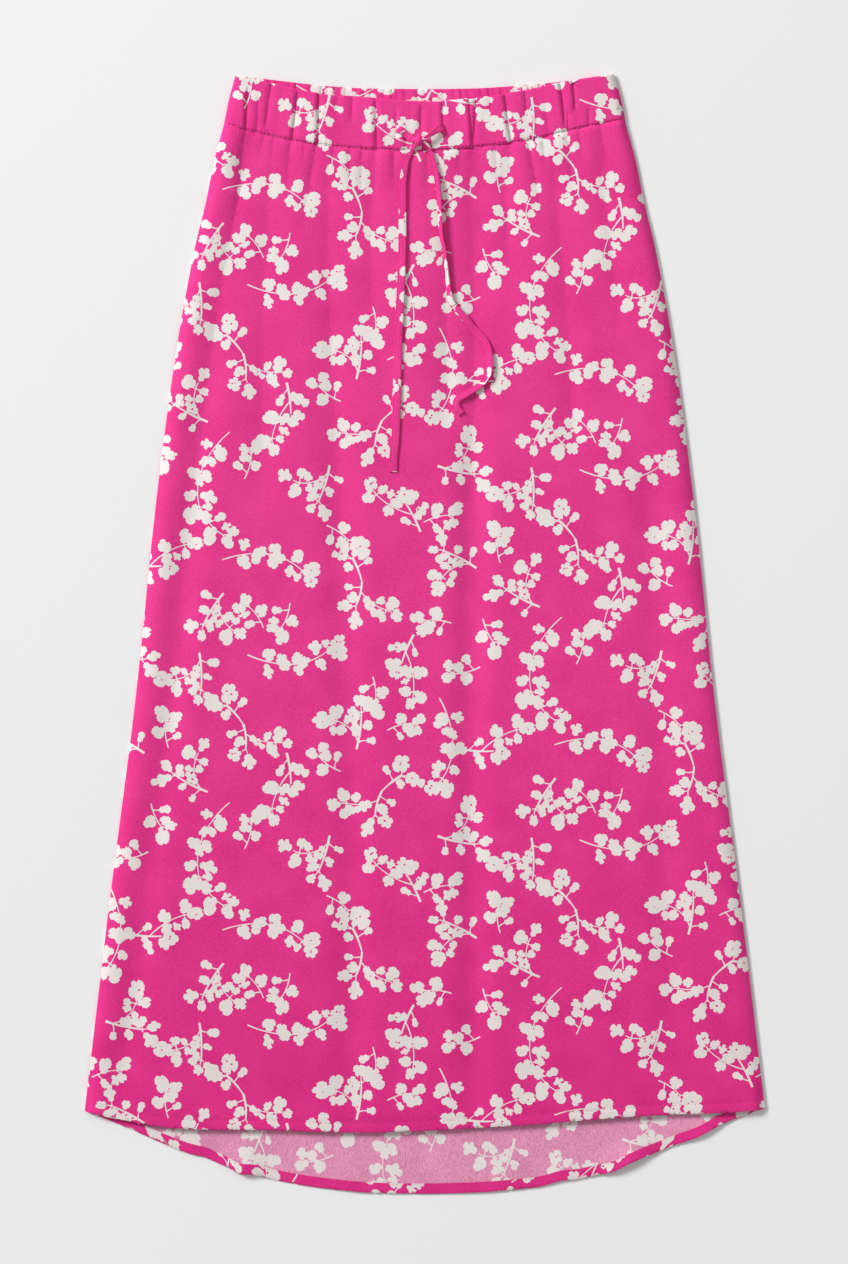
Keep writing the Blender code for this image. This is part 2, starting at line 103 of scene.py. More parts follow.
# tucks of the front casing, over the stretch of its height from start to end: the cloth rises to the line
# of one by step and drops there, on the right of it, or on the left where negative
Gather = namedtuple("Gather", "top seam start end depth width crisp step")
frontGathers = [Gather(*row) for row in (
    (-0.923, -0.889, 0.3, 2.0, 0.0005, 0.0036, 0.0005, 0.0014),
    (-0.858, -0.832, 0.45, 2.0, 0.0004, 0.0034, 0.0002, 0.0004),
    (-0.8, -0.79, -1.0, 0.95, 0.0005, 0.0034, 0.0003, 0.0006),
    (-0.658, -0.65, 0.12, 2.0, 0.0005, 0.004, 0.0005, 0.0011),
    (-0.547, -0.523, -1.0, 2.0, 0.0005, 0.004, 0.0004, 0.0013),
    (-0.45, -0.442, -1.0, 0.5, 0.0003, 0.003, 0.0, 0.0003),
    (-0.372, -0.362, -1.0, 0.6, 0.0005, 0.0032, 0.0002, 0.0003),
    (-0.255, -0.235, 0.1, 2.0, 0.0005, 0.0034, 0.0004, 0.0009),
    (-0.144, -0.137, 0.3, 0.95, 0.0003, 0.0024, 0.0003, -0.0006),
    (-0.1, -0.095, 0.65, 2.0, 0.0003, 0.0028, 0.0004, 0.0006),
    (-0.02, -0.024, 0.2, 0.7, 0.0006, 0.003, 0.0003, 0.0006),
    (0.087, 0.09, 0.05, 0.85, 0.0003, 0.0026, 0.0003, 0.0009),
    (0.221, 0.229, -1.0, 2.0, 0.0004, 0.0036, 0.0006, 0.0014),
    (0.257, 0.234, -1.0, 0.9, 0.0003, 0.0026, 0.0007, 0.001),
    (0.33, 0.332, -1.0, 0.4, 0.0003, 0.003, 0.0, 0.0003),
    (0.405, 0.415, -1.0, 2.0, 0.0005, 0.004, 0.0005, 0.0014),
    (0.513, 0.5, -1.0, 0.6, 0.0004, 0.003, 0.0002, 0.0006),
    (0.6, 0.61, 0.5, 2.0, 0.0003, 0.0028, 0.0, 0.0002),
    (0.7, 0.69, -1.0, 0.95, 0.0004, 0.0036, 0.0006, 0.0014),
    (0.738, 0.705, 0.7, 2.0, 0.0002, 0.0026, 0.0003, 0.0004),
    (0.768, 0.745, -1.0, 0.7, 0.0003, 0.003, 0.0006, 0.0012),
    (0.85, 0.812, 0.7, 2.0, 0.0003, 0.0026, 0.0003, 0.0003),
)]
# where the back hem lifts off the surface
Lift = namedtuple("Lift", "across width height")
backLifts = [Lift(*row) for row in (
    (-0.7, 0.06, 0.0012), (-0.535, 0.05, 0.0046), (-0.18, 0.1, 0.0009), (0.2, 0.11, 0.001),
    (0.4, 0.05, 0.0012), (0.595, 0.075, 0.005), (0.83, 0.06, 0.0042),
)]
# waves of the back hem's line, further down where positive
Wave = namedtuple("Wave", "across width drop")
hemWaves = [Wave(*row) for row in (
    (-0.645, 0.03, -0.0016), (-0.545, 0.026, 0.0027), (0.4, 0.042, -0.0027), (0.55, 0.036, 0.0023),
    (0.8, 0.048, 0.002),
)]
# the front casing's top edge is lower past each of these tucks, or higher where negative
Step = namedtuple("Step", "across drop")
topSteps = [Step(*row) for row in (
    (-0.547, 0.001), (0.087, -0.0014), (0.221, 0.001), (0.257, -0.0008), (0.405, -0.0012),
)]
# short creases that run down from the waist seam, by their length from it
Crease = namedtuple("Crease", "seam foot length depth width")
waistCreases = [Crease(*row) for row in (
    (-0.885, -0.85, 0.06, 0.001, 0.004), (-0.852, -0.856, 0.11, 0.0011, 0.004),
    (-0.79, -0.78, 0.04, 0.0007, 0.003), (-0.74, -0.72, 0.03, 0.0005, 0.0028),
    (-0.652, -0.632, 0.062, 0.001, 0.0038), (-0.585, -0.57, 0.026, 0.0005, 0.0026),
    (-0.525, -0.545, 0.085, 0.0011, 0.0038), (-0.44, -0.42, 0.03, 0.0006, 0.0028),
    (-0.36, -0.35, 0.048, 0.0009, 0.0036), (-0.3, -0.292, 0.06, 0.001, 0.0036),
    (-0.24, -0.228, 0.075, 0.001, 0.0038), (-0.15, -0.14, 0.05, 0.0012, 0.0034),
    (-0.08, -0.085, 0.06, 0.001, 0.0032), (0.01, 0.012, 0.058, 0.0009, 0.0036),
    (0.06, 0.062, 0.03, 0.0006, 0.0028), (0.165, 0.16, 0.04, 0.0007, 0.0032),
    (0.238, 0.23, 0.12, 0.0013, 0.0032), (0.34, 0.335, 0.04, 0.0009, 0.0032),
    (0.405, 0.395, 0.05, 0.0009, 0.0034), (0.5, 0.53, 0.08, 0.0014, 0.0036),
    (0.575, 0.565, 0.04, 0.001, 0.003), (0.695, 0.682, 0.072, 0.001, 0.0038),
    (0.76, 0.74, 0.046, 0.0007, 0.0032), (0.87, 0.85, 0.066, 0.0009, 0.004),
)]
# low ridges of the back's underside, as lines over the surface it lies on
Ridge = namedtuple("Ridge", "top foot start end height width")
backRidges = [Ridge(*row) for row in (
    (-0.82, -0.76, 0.06, 1.03, 0.00045, 0.006), (-0.52, -0.58, 0.06, 0.55, 0.00035, 0.005),
    (-0.36, -0.3, 0.2, 1.06, 0.0005, 0.0058), (-0.12, -0.09, 0.06, 0.42, 0.00035, 0.0048),
    (0.08, 0.02, 0.1, 1.06, 0.00045, 0.0056), (0.33, 0.3, 0.06, 0.6, 0.0004, 0.005),
    (0.52, 0.43, 0.3, 1.04, 0.0005, 0.006), (0.76, 0.82, 0.06, 0.8, 0.0004, 0.0052),
)]

lay = {
    "panelLoft": 0.0028,  # how much higher than the layers under it the front panel stands
    "seamLoft": 0.0012,  # and at the waist seam
    "hemLoft": (0.60, 0.30),  # and at the hem's middle and corners, as shares of the panel's
    "bandLoft": 0.0012,  # and the casing
    "seamSettle": 0.010,  # how far below the waist seam the casing's height under it starts to go
    "seamEase": 0.045,  # and by where it is gone
    "puffLoft": 0.0026,  # how much more the gathers stand up below the waist seam
    "puffPull": 0.30,  # and how much deeper its folds are there
    "puffStarts": (-0.002, 0.005),  # from the seam, between which that comes
    "puffEnds": (0.120, 0.420),  # and between which it goes
    "hemEase": 0.040,  # how far above the hem the cloth starts to come down to it
    "corner": (0.78, 0.88),  # where across the two turn-ups start to lie on each other
    "sideClimb": 0.010,  # how far in from a side seam the turn-ups have their whole height
    "sideRound": 0.014,  # how far in the cloth is rounded down to its sides
    "bandRound": 0.7,  # and the casing, as a share of it
    "sideBend": 2.2,  # 1 for a slope, more for a fuller rounding
    "foldFade": 0.080,  # over how much of its foot a fold fades out
    "foldStart": 0.02,  # and of its top
    "foldShoulder": 0.22,  # height of the ridges beside a fold, as a share of its depth
    "foldDepth": (1.12, 0.78),  # of the folds near the waist and low down, as shares of the solids'
    "foldEases": (0.40, 0.80),  # the drops between which that changes
    "hemFoldShare": 0.45,  # what is left of the folds at the hem
    "lineRound": 0.0004,  # how far a fold's sharp line is rounded
    "lineTail": 2.4,  # how much gentler it is on its right
    "softFrom": 0.16,  # the drop from which folds lose their sharp line
    "softReach": 0.3,  # and how much further down they have lost it
    "creaseDepth": 2.0,  # of the creases, as a share of what their table says
    "creaseWidth": (0.75, 0.8),  # a crease's width at the seam, and how much it gains, as shares of its own
    "creaseFade": 0.25,  # the share of its length from which a crease fades out
    "settle": (0.0003, 0.0005),  # how close a fold comes to the back, and how softly
    "hemGroove": (0.00045, 0.0008),  # depth and width of the line that the hem's stitches draw in
    "tuckDepth": 1.6,  # of the casing's tucks, the same way, and of their steps
    "tuckStep": 1.25,
    "tuckEnds": (0.20, 0.06, 0.25, 0.03),  # how a tuck comes and goes, as shares of the casing's height
    "shoulder": 0.0034,  # how far before its line the cloth rolls down from a tuck
    "stepReach": 0.0060,  # how far before its line the cloth starts to rise to a tuck
    "crisp": (0.0004, 0.0006),  # where past a tuck's line its sharp shadow lies, and its width
    "topStep": (0.004, 0.06),  # over how far the top edge steps at a tuck and comes back
    "gathers": 44,  # of the back casing
    "gatherHeight": 0.0010,  # of the tallest
    "gatherFade": 0.006,  # over how much of the cloth by a side seam they come up
    "gatherShape": (1.7, 0.36),  # how far to one side a gather leans, and how full it is
    "sideRoll": (0.0022, 0.0050),  # how far in from the left and right side seams the cloth rolls down
    "frontSide": 0.00210,  # height of the side seams
    "bandSide": 0.00240,  # and of the casings' sides
    "backUnder": (0.00015, 0.0002),  # how far the back panel's and casing's outer faces lie under those
    "bandFall": (0.0006, 0.0026),  # how far the casing comes down to the waist seam, and from how far
    "insideLoft": 0.25,  # of the front casing's inner face, as a share of its outer one's
    "seamRoll": 0.0006,  # how far from the waist seam both sides roll down into it
    "seamSink": (0.00022, 0.00080),  # between the stitches and at them
    "liftReach": 0.012,  # how far past the back hem its lifts would be whole
    "ridgeEnds": (0.12, 0.86),  # by which share of its length a ridge is whole, and until which
    "ridgeSide": 0.02,  # how far in from a side seam it is whole
    "hemFold": 0.00060,  # radius of the turned hem
    "hemFoldSide": (0.35, 0.006),  # what is left of it at a side, and how far in from there it is whole
    "puckerPitch": 0.0037,  # from one seam stitch's pucker to the next
    "puckerDepth": 0.00048,
    "puckerReach": 0.0030,  # how far from the seam they run
}


def mix(a, b, share):
    return a + (b - a) * share


def ease(value, start, end):
    share = np.clip((value - start) / (end - start), 0.0, 1.0)
    return share * share * (3 - 2 * share)


def hump(distance, width):
    return np.exp(-((distance / width) ** 2))


def rolled(distance, radius):
    # 0 at an edge and 1 past the radius, on a quarter circle
    return np.sqrt(1 - (1 - np.clip(distance / radius, 0.0, 1.0)) ** 2)


def smoothTable(rows, column):
    # a function that reads a smooth curve through one column of a table
    places = np.array([row[0] for row in rows])
    values = np.array([getattr(row, column) for row in rows])
    slopes = np.empty_like(values)
    slopes[1:-1] = (values[2:] - values[:-2]) / (places[2:] - places[:-2])
    slopes[0] = (values[1] - values[0]) / (places[1] - places[0])
    slopes[-1] = (values[-1] - values[-2]) / (places[-1] - places[-2])

    def read(at):
        at = np.clip(at, places[0], places[-1])
        i = np.clip(np.searchsorted(places, at) - 1, 0, len(places) - 2)
        span = places[i + 1] - places[i]
        t = (at - places[i]) / span
        straight = (2 * t**3 - 3 * t**2 + 1) * values[i] + (3 * t**2 - 2 * t**3) * values[i + 1]
        return straight + span * ((t**3 - 2 * t**2 + t) * slopes[i] + (t**3 - t**2) * slopes[i + 1])

    return read


halfWidth = smoothTable(sides, "halfWidth")
evenBandTop = smoothTable(waist, "frontTop")
backBandTop = smoothTable(waist, "backTop")
frontSeam = smoothTable(waist, "seam")
frontHem = smoothTable(hems, "front")
evenBackHem = smoothTable(hems, "back")


def frontBandTop(across):
    top, (near, far) = evenBandTop(across), lay["topStep"]
    for step in topSteps:
        away = across - step.across
        top = top + 0.5 * step.drop * np.tanh(away / near) * np.exp(-np.abs(away) / far)
    return top


def backHem(across):
    waves = sum(wave.drop * hump(across - wave.across, wave.width) for wave in hemWaves)
    return evenBackHem(across) + waves


def backSeam(across):
    return backBandTop(across) + cut["bandHeight"]


def fromSide(across, drop):
    return (1 - np.abs(across)) * halfWidth(drop)


def sideFall(across, drop):
    # 0 at a side seam and 1 past the roll down to it
    return rolled(fromSide(across, drop), np.where(across < 0, *lay["sideRoll"]))


def roundedIn(side, reach):
    # 0 at a side seam and 1 past its wide rounding
    return 1 - np.maximum(1 - side / reach, 0.0) ** lay["sideBend"]


def groove(away, width):
    # a trough with a low ridge on each side
    ridges = hump(away - 2 * width, width) + hump(away + 2 * width, width)
    return hump(away, width) - lay["foldShoulder"] * ridges


def furrow(away, width):
    # a trough that steepens towards its line from the left and leaves it gently on the right
    soft = np.sqrt(away**2 + lay["lineRound"] ** 2) - lay["lineRound"]
    return np.exp(-soft / np.where(away < 0, width, lay["lineTail"] * width))


def foldLine(fold, share):
    # where a fold lies across at this share of its length, on a curve
    upper = mix(fold.top, fold.middle, 2 * share)
    return mix(upper, mix(fold.middle, fold.foot, 2 * share - 1), share)


def foldDepth(across, drop):
    total = 0.0
    softened = ease(drop, lay["softFrom"], lay["softFrom"] + lay["softReach"])
    deep = mix(*lay["foldDepth"], ease(drop, *lay["foldEases"]))
    for fold in folds:
        share = (drop - fold.start) / (fold.end - fold.start)
        begun = ease(drop, fold.start, fold.start + lay["foldStart"])
        live = (1 - ease(drop, fold.end - lay["foldFade"], fold.end)) * begun
        live = live * ((share >= 0) & (share <= 1))
        away = (across - foldLine(fold, share)) * halfWidth(drop)
        shape = mix(furrow(away, fold.width), groove(away, fold.width), softened)
        total = total + live * fold.depth * deep * shape
    return total


def creaseDepth(across, drop):
    total, below = 0.0, drop - frontSeam(across)
    narrow, gain = lay["creaseWidth"]
    for crease in waistCreases:
        share = below / crease.length
        away = (across - mix(crease.seam, crease.foot, share)) * halfWidth(drop)
        width = crease.width * (narrow + gain * np.clip(share, 0, 1))
        total = total + crease.depth * (1 - ease(share, lay["creaseFade"], 1.0)) * furrow(away, width)
    return lay["creaseDepth"] * total


def stitchBeat(across, drop):
    return across * halfWidth(drop) / lay["puckerPitch"]


def stitchPull(across, drop):
    # how far the stitches of a seam draw it in along it, from 0 to 1, a little unevenly
    beat = stitchBeat(across, drop)
    return 0.5 - 0.5 * np.cos(2 * math.pi * (beat + 0.20 * np.sin(1.9 * beat + 0.7)))


def seamSink(across, drop, away):
    return mix(*lay["seamSink"], stitchPull(across, drop)) * (1 - rolled(away, lay["seamRoll"]))


def puckers(across, drop, away, seed):
    # small tucks that the stitches of a seam pull into the cloth beside it
    beat = stitchBeat(across, drop)
    uneven = 0.55 + 0.30 * np.sin(0.53 * beat + seed) + 0.15 * np.sin(1.37 * beat + 2 * seed)
    reach = lay["puckerReach"] * (1.0 + 0.6 * np.sin(0.41 * beat + 3 * seed))
    return lay["puckerDepth"] * stitchPull(across, drop) * uneven * np.exp(-np.maximum(away, 0) / reach)


def bandRest(across, drop):
    # height of what the front casing rests on
    fade = ease(fromSide(across, drop), 0.0, lay["gatherFade"])
    return cut["casingWall"] + cut["gap"] + lay["gatherHeight"] * fade


def frontRest(across, drop):
    # height of what the front panel rests on
    layer = cut["wall"] + cut["gap"]
    turnUps = 1 + ease(np.abs(across), *lay["corner"])
    onHem = layer + turnUps * layer * ease(fromSide(across, drop), 0.0, lay["sideClimb"])
    seam, turned = frontSeam(across), frontHem(across) - cut["hemDepth"]
    settled = ease(drop, seam + lay["seamSettle"], seam + lay["seamEase"])
    height = mix(bandRest(across, drop), layer, settled)
    return mix(height, onHem, ease(drop, turned - lay["hemEase"], turned))


def frontHeight(across, drop):
    # outer face of the front panel
    seam, hem = frontSeam(across), frontHem(across)
    below, stitchLine = drop - seam, hem - cut["hemDepth"]
    settled = ease(drop, seam, seam + lay["seamEase"])
    nearHem = ease(drop, hem - 2 * lay["hemEase"], stitchLine)
    hemLoft = mix(*lay["hemLoft"], ease(np.abs(across), *lay["corner"])) * lay["panelLoft"]
    puff = ease(below, *lay["puffStarts"]) * (1 - ease(below, *lay["puffEnds"]))
    loft = mix(mix(lay["seamLoft"], lay["panelLoft"], settled), hemLoft, nearHem) + lay["puffLoft"] * puff
    allowed = mix(mix(lay["seamLoft"] / lay["panelLoft"], 1.0, settled), lay["hemFoldShare"], nearHem)
    allowed = allowed * (1 + lay["puffPull"] * puff)
    lofted = loft - allowed * foldDepth(across, drop) - creaseDepth(across, drop)
    lofted = lofted - puckers(across, drop, below, 0.7)
    clear, soft = lay["settle"]
    lofted = clear + (lofted - clear + np.sqrt((lofted - clear) ** 2 + soft**2)) / 2
    over = roundedIn(fromSide(across, drop), lay["sideRound"])
    body = frontRest(across, drop) + over * lofted + cut["wall"] - seamSink(across, drop, below)
    depth, width = lay["hemGroove"]
    body = body - depth * hump(drop - stitchLine, width) * over
    return mix(lay["frontSide"], body, sideFall(across, drop))


def backHeight(across, drop):
    # outer face of the back panel, which is its underside
    free = ease(drop, frontHem(across) + cut["gap"], backHem(across) + lay["liftReach"])
    height = free * sum(lift.height * hump(across - lift.across, lift.width) for lift in backLifts)
    begun, going = lay["ridgeEnds"]
    inside = ease(fromSide(across, drop), 0.0, lay["ridgeSide"])
    for ridge in backRidges:
        share = (drop - ridge.start) / (ridge.end - ridge.start)
        live = ease(share, 0.0, begun) * (1 - ease(share, going, 1.0))
        away = (across - mix(ridge.top, ridge.foot, share)) * halfWidth(drop)
        height = height + live * ridge.height * hump(away, ridge.width) * inside
    return mix(lay["frontSide"] - lay["backUnder"][0], height, sideFall(across, drop))


def frontBandHeight(across, drop):
    # outer face of the front casing
    top, seam = frontBandTop(across), frontSeam(across)
    share, above = (drop - top) / (seam - top), seam - drop
    before, begun, going, gone = lay["tuckEnds"]
    crispAt, crispWidth = lay["crisp"]
    pulled = 0.0
    for gather in frontGathers:
        away = (across - mix(gather.top, gather.seam, share)) * halfWidth(drop)
        live = ease(share, gather.start - before, gather.start + begun)
        live = live * (1 - ease(share, gather.end - going, gather.end + gone))
        past = math.copysign(1, gather.step) * away
        crisp = gather.crisp * np.exp(-np.abs(past - crispAt) / crispWidth)
        flat = np.maximum(-past - lay["shoulder"], 0)
        step = lay["tuckStep"] * abs(gather.step) * rolled(-past, lay["shoulder"])
        step = step * np.exp(-flat / lay["stepReach"])
        tuck = lay["tuckDepth"] * gather.depth * groove(away, gather.width)
        pulled = pulled + live * (tuck + crisp - step)
    over = roundedIn(fromSide(across, drop), lay["bandRound"] * lay["sideRound"])
    body = bandRest(across, drop) + cut["casingWall"] + over * (lay["bandLoft"] - pulled)
    body = body - over * puckers(across, drop, above, 1.9)
    depth, reach = lay["bandFall"]
    body = body - seamSink(across, drop, above) - depth * (1 - rolled(above, reach))
    return mix(lay["bandSide"], body, sideFall(across, drop))


def frontBandInside(across, drop):
    body = bandRest(across, drop) + lay["insideLoft"] * lay["bandLoft"]
    return mix(lay["bandSide"], body, sideFall(across, drop))


def gatherPhase(across):
    # the back casing's gathers up to here, unevenly spaced
    turns = lay["gathers"] * (across + 1) / 2
    return turns + 0.26 * np.sin(1.7 * turns) + 0.15 * np.sin(0.61 * turns + 1.0)


def gatherWave(across, drop):
    # height of the back casing's gathers, with a sharp line between two
    phase = gatherPhase(across)
    share = phase - np.floor(phase)
    lean, fullness = lay["gatherShape"]
    wave = np.maximum(np.sin(math.pi * share**lean), 0.0) ** fullness
    fade = ease(fromSide(across, drop), 0.0, lay["gatherFade"])
    uneven = 0.75 + 0.25 * np.sin(2.3 * np.floor(phase) + 0.7)
    return lay["gatherHeight"] * wave * fade * uneven


def backBandHeight(across, drop):
    # outer face of the back casing, which is its underside
    return mix(lay["bandSide"] - lay["backUnder"][1], gatherWave(across, drop), sideFall(across, drop))


def backBandInside(across, drop):
    body = gatherWave(across, drop) + cut["casingWall"]
    return mix(lay["bandSide"], body, sideFall(across, drop))


def skirtTop(x, y):
    # the uppermost cloth of the front here
    drop = topY - np.asarray(y)
    across = np.clip(np.asarray(x) / halfWidth(drop), -1, 1)
    onBand = drop < frontSeam(across)
    return np.where(onBand, frontBandHeight(across, drop), frontHeight(across, drop))


# camera

framing = {
    "centre": (-0.0009, 0.0018),
    "distance": 3.0,
    "height": 1.163,  # of what the picture takes in, on the surface
}


def makeCamera():
    data = bpy.data.cameras.new("camera")
    data.sensor_width = 36
    data.lens = data.sensor_width / 2 / (framing["height"] / 2 / framing["distance"])
    camera = bpy.data.objects.new("camera", data)
    camera.location = (*framing["centre"], framing["distance"])
    bpy.context.scene.collection.objects.link(camera)
    bpy.context.scene.camera = camera


# print: blossom sprigs, drawn by rule and set out in a half-drop repeat

blossomSizes = {
    "round": 0.0076,  # radius of a blossom seen from the front
    "small": 0.0061,
    "large": 0.0094,
    "leaf": 0.0080,
    "bud": 0.0045,
    "fan": 0.0080,  # one seen from the side
    "scallop": 0.0026,  # width of a scallop of a petal's edge
    "nick": 0.00031,  # half its height
    "curve": 0.14,  # how much of a petal's reach is lost at its sides
    "least": 0.66,  # what a blossom may shrink to for want of room
    "opens": 0.006,  # radius from which one has bare dots
    "stem": 0.00085,  # half the width of a main stem
    "twig": 0.00055,
    "dot": 0.00075,  # radius of the bare dots in a blossom
}
# a blossom's petals: their angle and half their span in radians, and how far out they reach
Petal = namedtuple("Petal", "angle span reach")
petalRules = {
    "bud": ((0.0, 1.30, 1.10), (3.1, 1.20, 0.85)),
    "fan": ((0.05, 0.50, 1.12), (1.0, 0.42, 0.92), (3.1, 1.10, 0.58), (-0.95, 0.46, 1.0)),
    "leaf": ((0.1, 0.62, 1.12), (1.45, 0.62, 0.66), (3.1, 0.80, 0.92), (-1.3, 0.60, 0.62)),
}
petalCounts = {"round": 4, "small": 3, "large": 5}
repeatSize = (0.305, 0.340)
Place = namedtuple("Place", "kind x y heading side seed")  # x and y of the sprig's middle in millimetres
layout = [Place(*row) for row in (
    ("branch", 34, 36, 80, 1, 3), ("chain", 136, 14, 25, -1, 5), ("posy", 236, 28, 120, 1, 11),
    ("fork", 92, 78, 40, 1, 8), ("branch", 180, 74, 285, -1, 14), ("chain", 272, 98, 60, 1, 17),
    ("branch", 28, 118, 200, 1, 21), ("posy", 122, 136, 75, -1, 24), ("fork", 208, 142, 150, -1, 27),
    ("chain", 52, 190, 140, -1, 31), ("branch", 148, 204, 100, 1, 35), ("branch", 290, 172, 20, -1, 52),
    ("posy", 226, 214, 250, 1, 38), ("chain", 112, 268, 340, 1, 57), ("posy", 16, 262, 10, 1, 47),
    ("fork", 200, 286, 60, 1, 44), ("branch", 278, 268, 215, -1, 61), ("branch", 60, 318, 130, -1, 41),
    ("sprig", 236, 78, 330, 1, 71), ("sprig", 90, 172, 300, -1, 75), ("sprig", 178, 246, 20, 1, 78),
    ("sprig", 258, 322, 200, -1, 83), ("sprig", 122, 324, 95, 1, 88), ("sprig", 16, 78, 250, 1, 91),
    ("sprig", 160, 108, 200, 1, 97), ("sprig", 66, 238, 60, -1, 99), ("sprig", 286, 26, 150, 1, 103),
    ("sprig", 10, 168, 80, -1, 106), ("sprig", 270, 226, 330, 1, 109), ("sprig", 206, 52, 70, 1, 112),
    ("sprig", 92, 312, 250, -1, 117),
)]


def anticlockwise(outline):
    turns = sum(a[0] * b[1] - b[0] * a[1] for a, b in zip(outline, [*outline[1:], outline[0]]))
    return outline if turns > 0 else outline[::-1]


def shifted(point, angle, distance):
    return point[0] + math.cos(angle) * distance, point[1] + math.sin(angle) * distance


class Sprig:
    # one sprig of the print, from its cut end at the origin, heading along +x
    def __init__(self, seed, side):
        self.draw = random.Random(seed)
        self.side = side
        self.printed, self.bare, self.blossoms = [], [], []
        self.start = ((0.0, 0.0), 0.0)
        self.back = ((0.0, 0.0), math.pi)

    def stem(self, start, turn, length, bend, thick=False, steps=5):
        # length in millimetres, from a (place, heading); gives the places and headings along it
        place, heading = start[0], start[1] + self.side * turn
        bend, length = self.side * bend, length / 1000
        line = []
        for k in range(steps + 1):
            line.append((place, heading + bend * k / steps))
            place = shifted(place, heading + bend * (k + 0.5) / steps, length / steps)
        width = blossomSizes["stem" if thick else "twig"]
        left, right = [], []
        for k, (place, way) in enumerate(line):
            half = mix(width * (1.3 if thick else 1.1), width * 0.75, k / steps)
            half = half * self.draw.uniform(0.85, 1.2)
            left.append(shifted(place, way + math.pi / 2, half))
            right.append(shifted(place, way - math.pi / 2, half))
        self.printed.append(left + right[::-1])
        return line

    def petalled(self, centre, radius, heading, petals):
        # an outline round a centre: petals with small scallops on their edges and a nick between every two
        draw, outline = self.draw, []
        longer = draw.uniform(0.98, 1.26)

        def add(turn, reach):
            middle = shifted(centre, heading, radius * reach * math.cos(turn) * longer)
            aside = radius * reach * math.sin(turn) / longer**0.5
            outline.append(shifted(middle, heading + math.pi / 2, aside))

        def curved(share):
            return petal.reach * (1 - blossomSizes["curve"] * share * share)

        for petal, following in zip(petals, [*petals[1:], petals[0]]):
            count = max(2, round(2 * petal.span * petal.reach * radius / blossomSizes["scallop"]))
            for k in range(count):
                share = 2 * (k + draw.uniform(0.35, 0.65)) / count - 1
                bump = blossomSizes["nick"] / radius * draw.uniform(0.4, 1.5)
                add(petal.angle + share * petal.span, curved(share) + bump)
                if k < count - 1:
                    share = 2 * (k + 1) / count - 1
                    add(petal.angle + share * petal.span, curved(share) - bump)
            gap = (following.angle - following.span - petal.angle - petal.span) % (2 * math.pi)
            lower = min(petal.reach, following.reach)
            add(petal.angle + petal.span + (gap / 2 if gap < 3 else 0), lower * draw.uniform(0.60, 0.84))
        self.printed.append(outline)

    def bloom(self, start, turn, kind, out=1.0):
        draw, heading = self.draw, start[1] + self.side * turn
        radius = blossomSizes[kind] * draw.uniform(0.86, 1.14)
        centre = shifted(start[0], heading, radius * out)
        smallest = radius * blossomSizes["least"]
        for other, size in self.blossoms:
            radius = max(smallest, min(radius, math.dist(centre, other) - size))
        self.blossoms.append((centre, radius))
        if kind in petalRules:
            petals = [Petal(a, b, reach * draw.uniform(0.88, 1.12)) for a, b, reach in petalRules[kind]]
            petals.sort(key=lambda p: p.angle % (2 * math.pi))
        else:
            widths = [draw.uniform(0.6, 1.4) for _ in range(petalCounts[kind])]
            angle, petals = draw.uniform(0, 2 * math.pi), []
            for width in widths:
                half = math.pi * width / sum(widths)
                petals.append(Petal(angle + half, half * 0.86, draw.uniform(0.82, 1.02) + 0.12 * width))
                angle += 2 * half
        self.petalled(centre, radius, heading, petals)
        if kind in ("round", "large", "leaf") and radius > blossomSizes["opens"]:
            self.openUp(centre, radius, kind)

    def openUp(self, centre, radius, kind):
        # bare dots near the middle of a blossom
        draw = self.draw
        for _ in range(2 if kind == "large" else draw.choice((0, 1, 1, 2))):
            spot = shifted(centre, draw.uniform(0, 2 * math.pi), radius * draw.uniform(0.05, 0.4))
            size = blossomSizes["dot"] * draw.uniform(0.8, 1.6)
            self.bare.append([shifted(spot, k * math.pi / 2.5, size) for k in range(5)])

    def stalk(self, start, turn, length, kind, bend=0.3):
        line = self.stem(start, turn, length, bend, steps=3)
        self.bloom(line[-1], 0.0, kind, 0.75)

    def blooms(self, line, *rows):
        # blossoms on a stem, each by its place along it, its turn, kind and distance out
        for at, turn, kind, *out in rows:
            self.bloom(line[at], turn, kind, *out)

    def cluster(self, start, kinds, spread, length):
        # blossoms round the end of a twig, from one side to the other
        for k, kind in enumerate(kinds):
            share = k / (len(kinds) - 1) - 0.5
            turn = share * spread + self.draw.uniform(-0.15, 0.15)
            self.stalk(start, turn, length * (1.3 - abs(share)), kind)


def branch(s):
    # a cut branch: a bud and a leafy fork low down, blossoms at both tips
    trunk = s.stem(s.start, 0.0, 34, 0.25, True)
    s.stalk(trunk[1], -0.9, 8, "bud", -0.5)
    twig = s.stem(trunk[1], 0.50, 29, 1.0)
    s.blooms(twig, (1, -0.35, "leaf"), (3, 1.2, "small"), (3, -0.9, "small"))
    s.cluster(twig[-1], ["small", s.draw.choice(("fan", "round")), "small"], 2.8, 5)
    s.blooms(trunk, (3, -1.2, "small"), (4, 0.9, "small"))
    s.cluster(trunk[-1], ["fan", "round", "small"], 2.4, 4)


def chain(s):
    # a thin arching spray, with blossoms in twos and threes along it
    lower = s.stem(s.start, 0.0, 34, 0.35, steps=6)
    upper = s.stem(lower[-1], 0.0, 44, 0.75, steps=7)
    s.blooms(lower, (3, 1.2, "small", 1.1), (3, -1.0, "fan"), (5, 1.0, "small"))
    s.blooms(upper, (0, -0.4, "round", 0.2), (2, 1.3, "small"), (2, -1.3, "small", 1.1))
    s.blooms(upper, (3, 0.5, "round", 0.1), (5, 1.2, "fan", 0.9), (5, -1.3, "small", 1.1))
    s.cluster(upper[-1], ["round", "large", "small"], 2.2, 4)


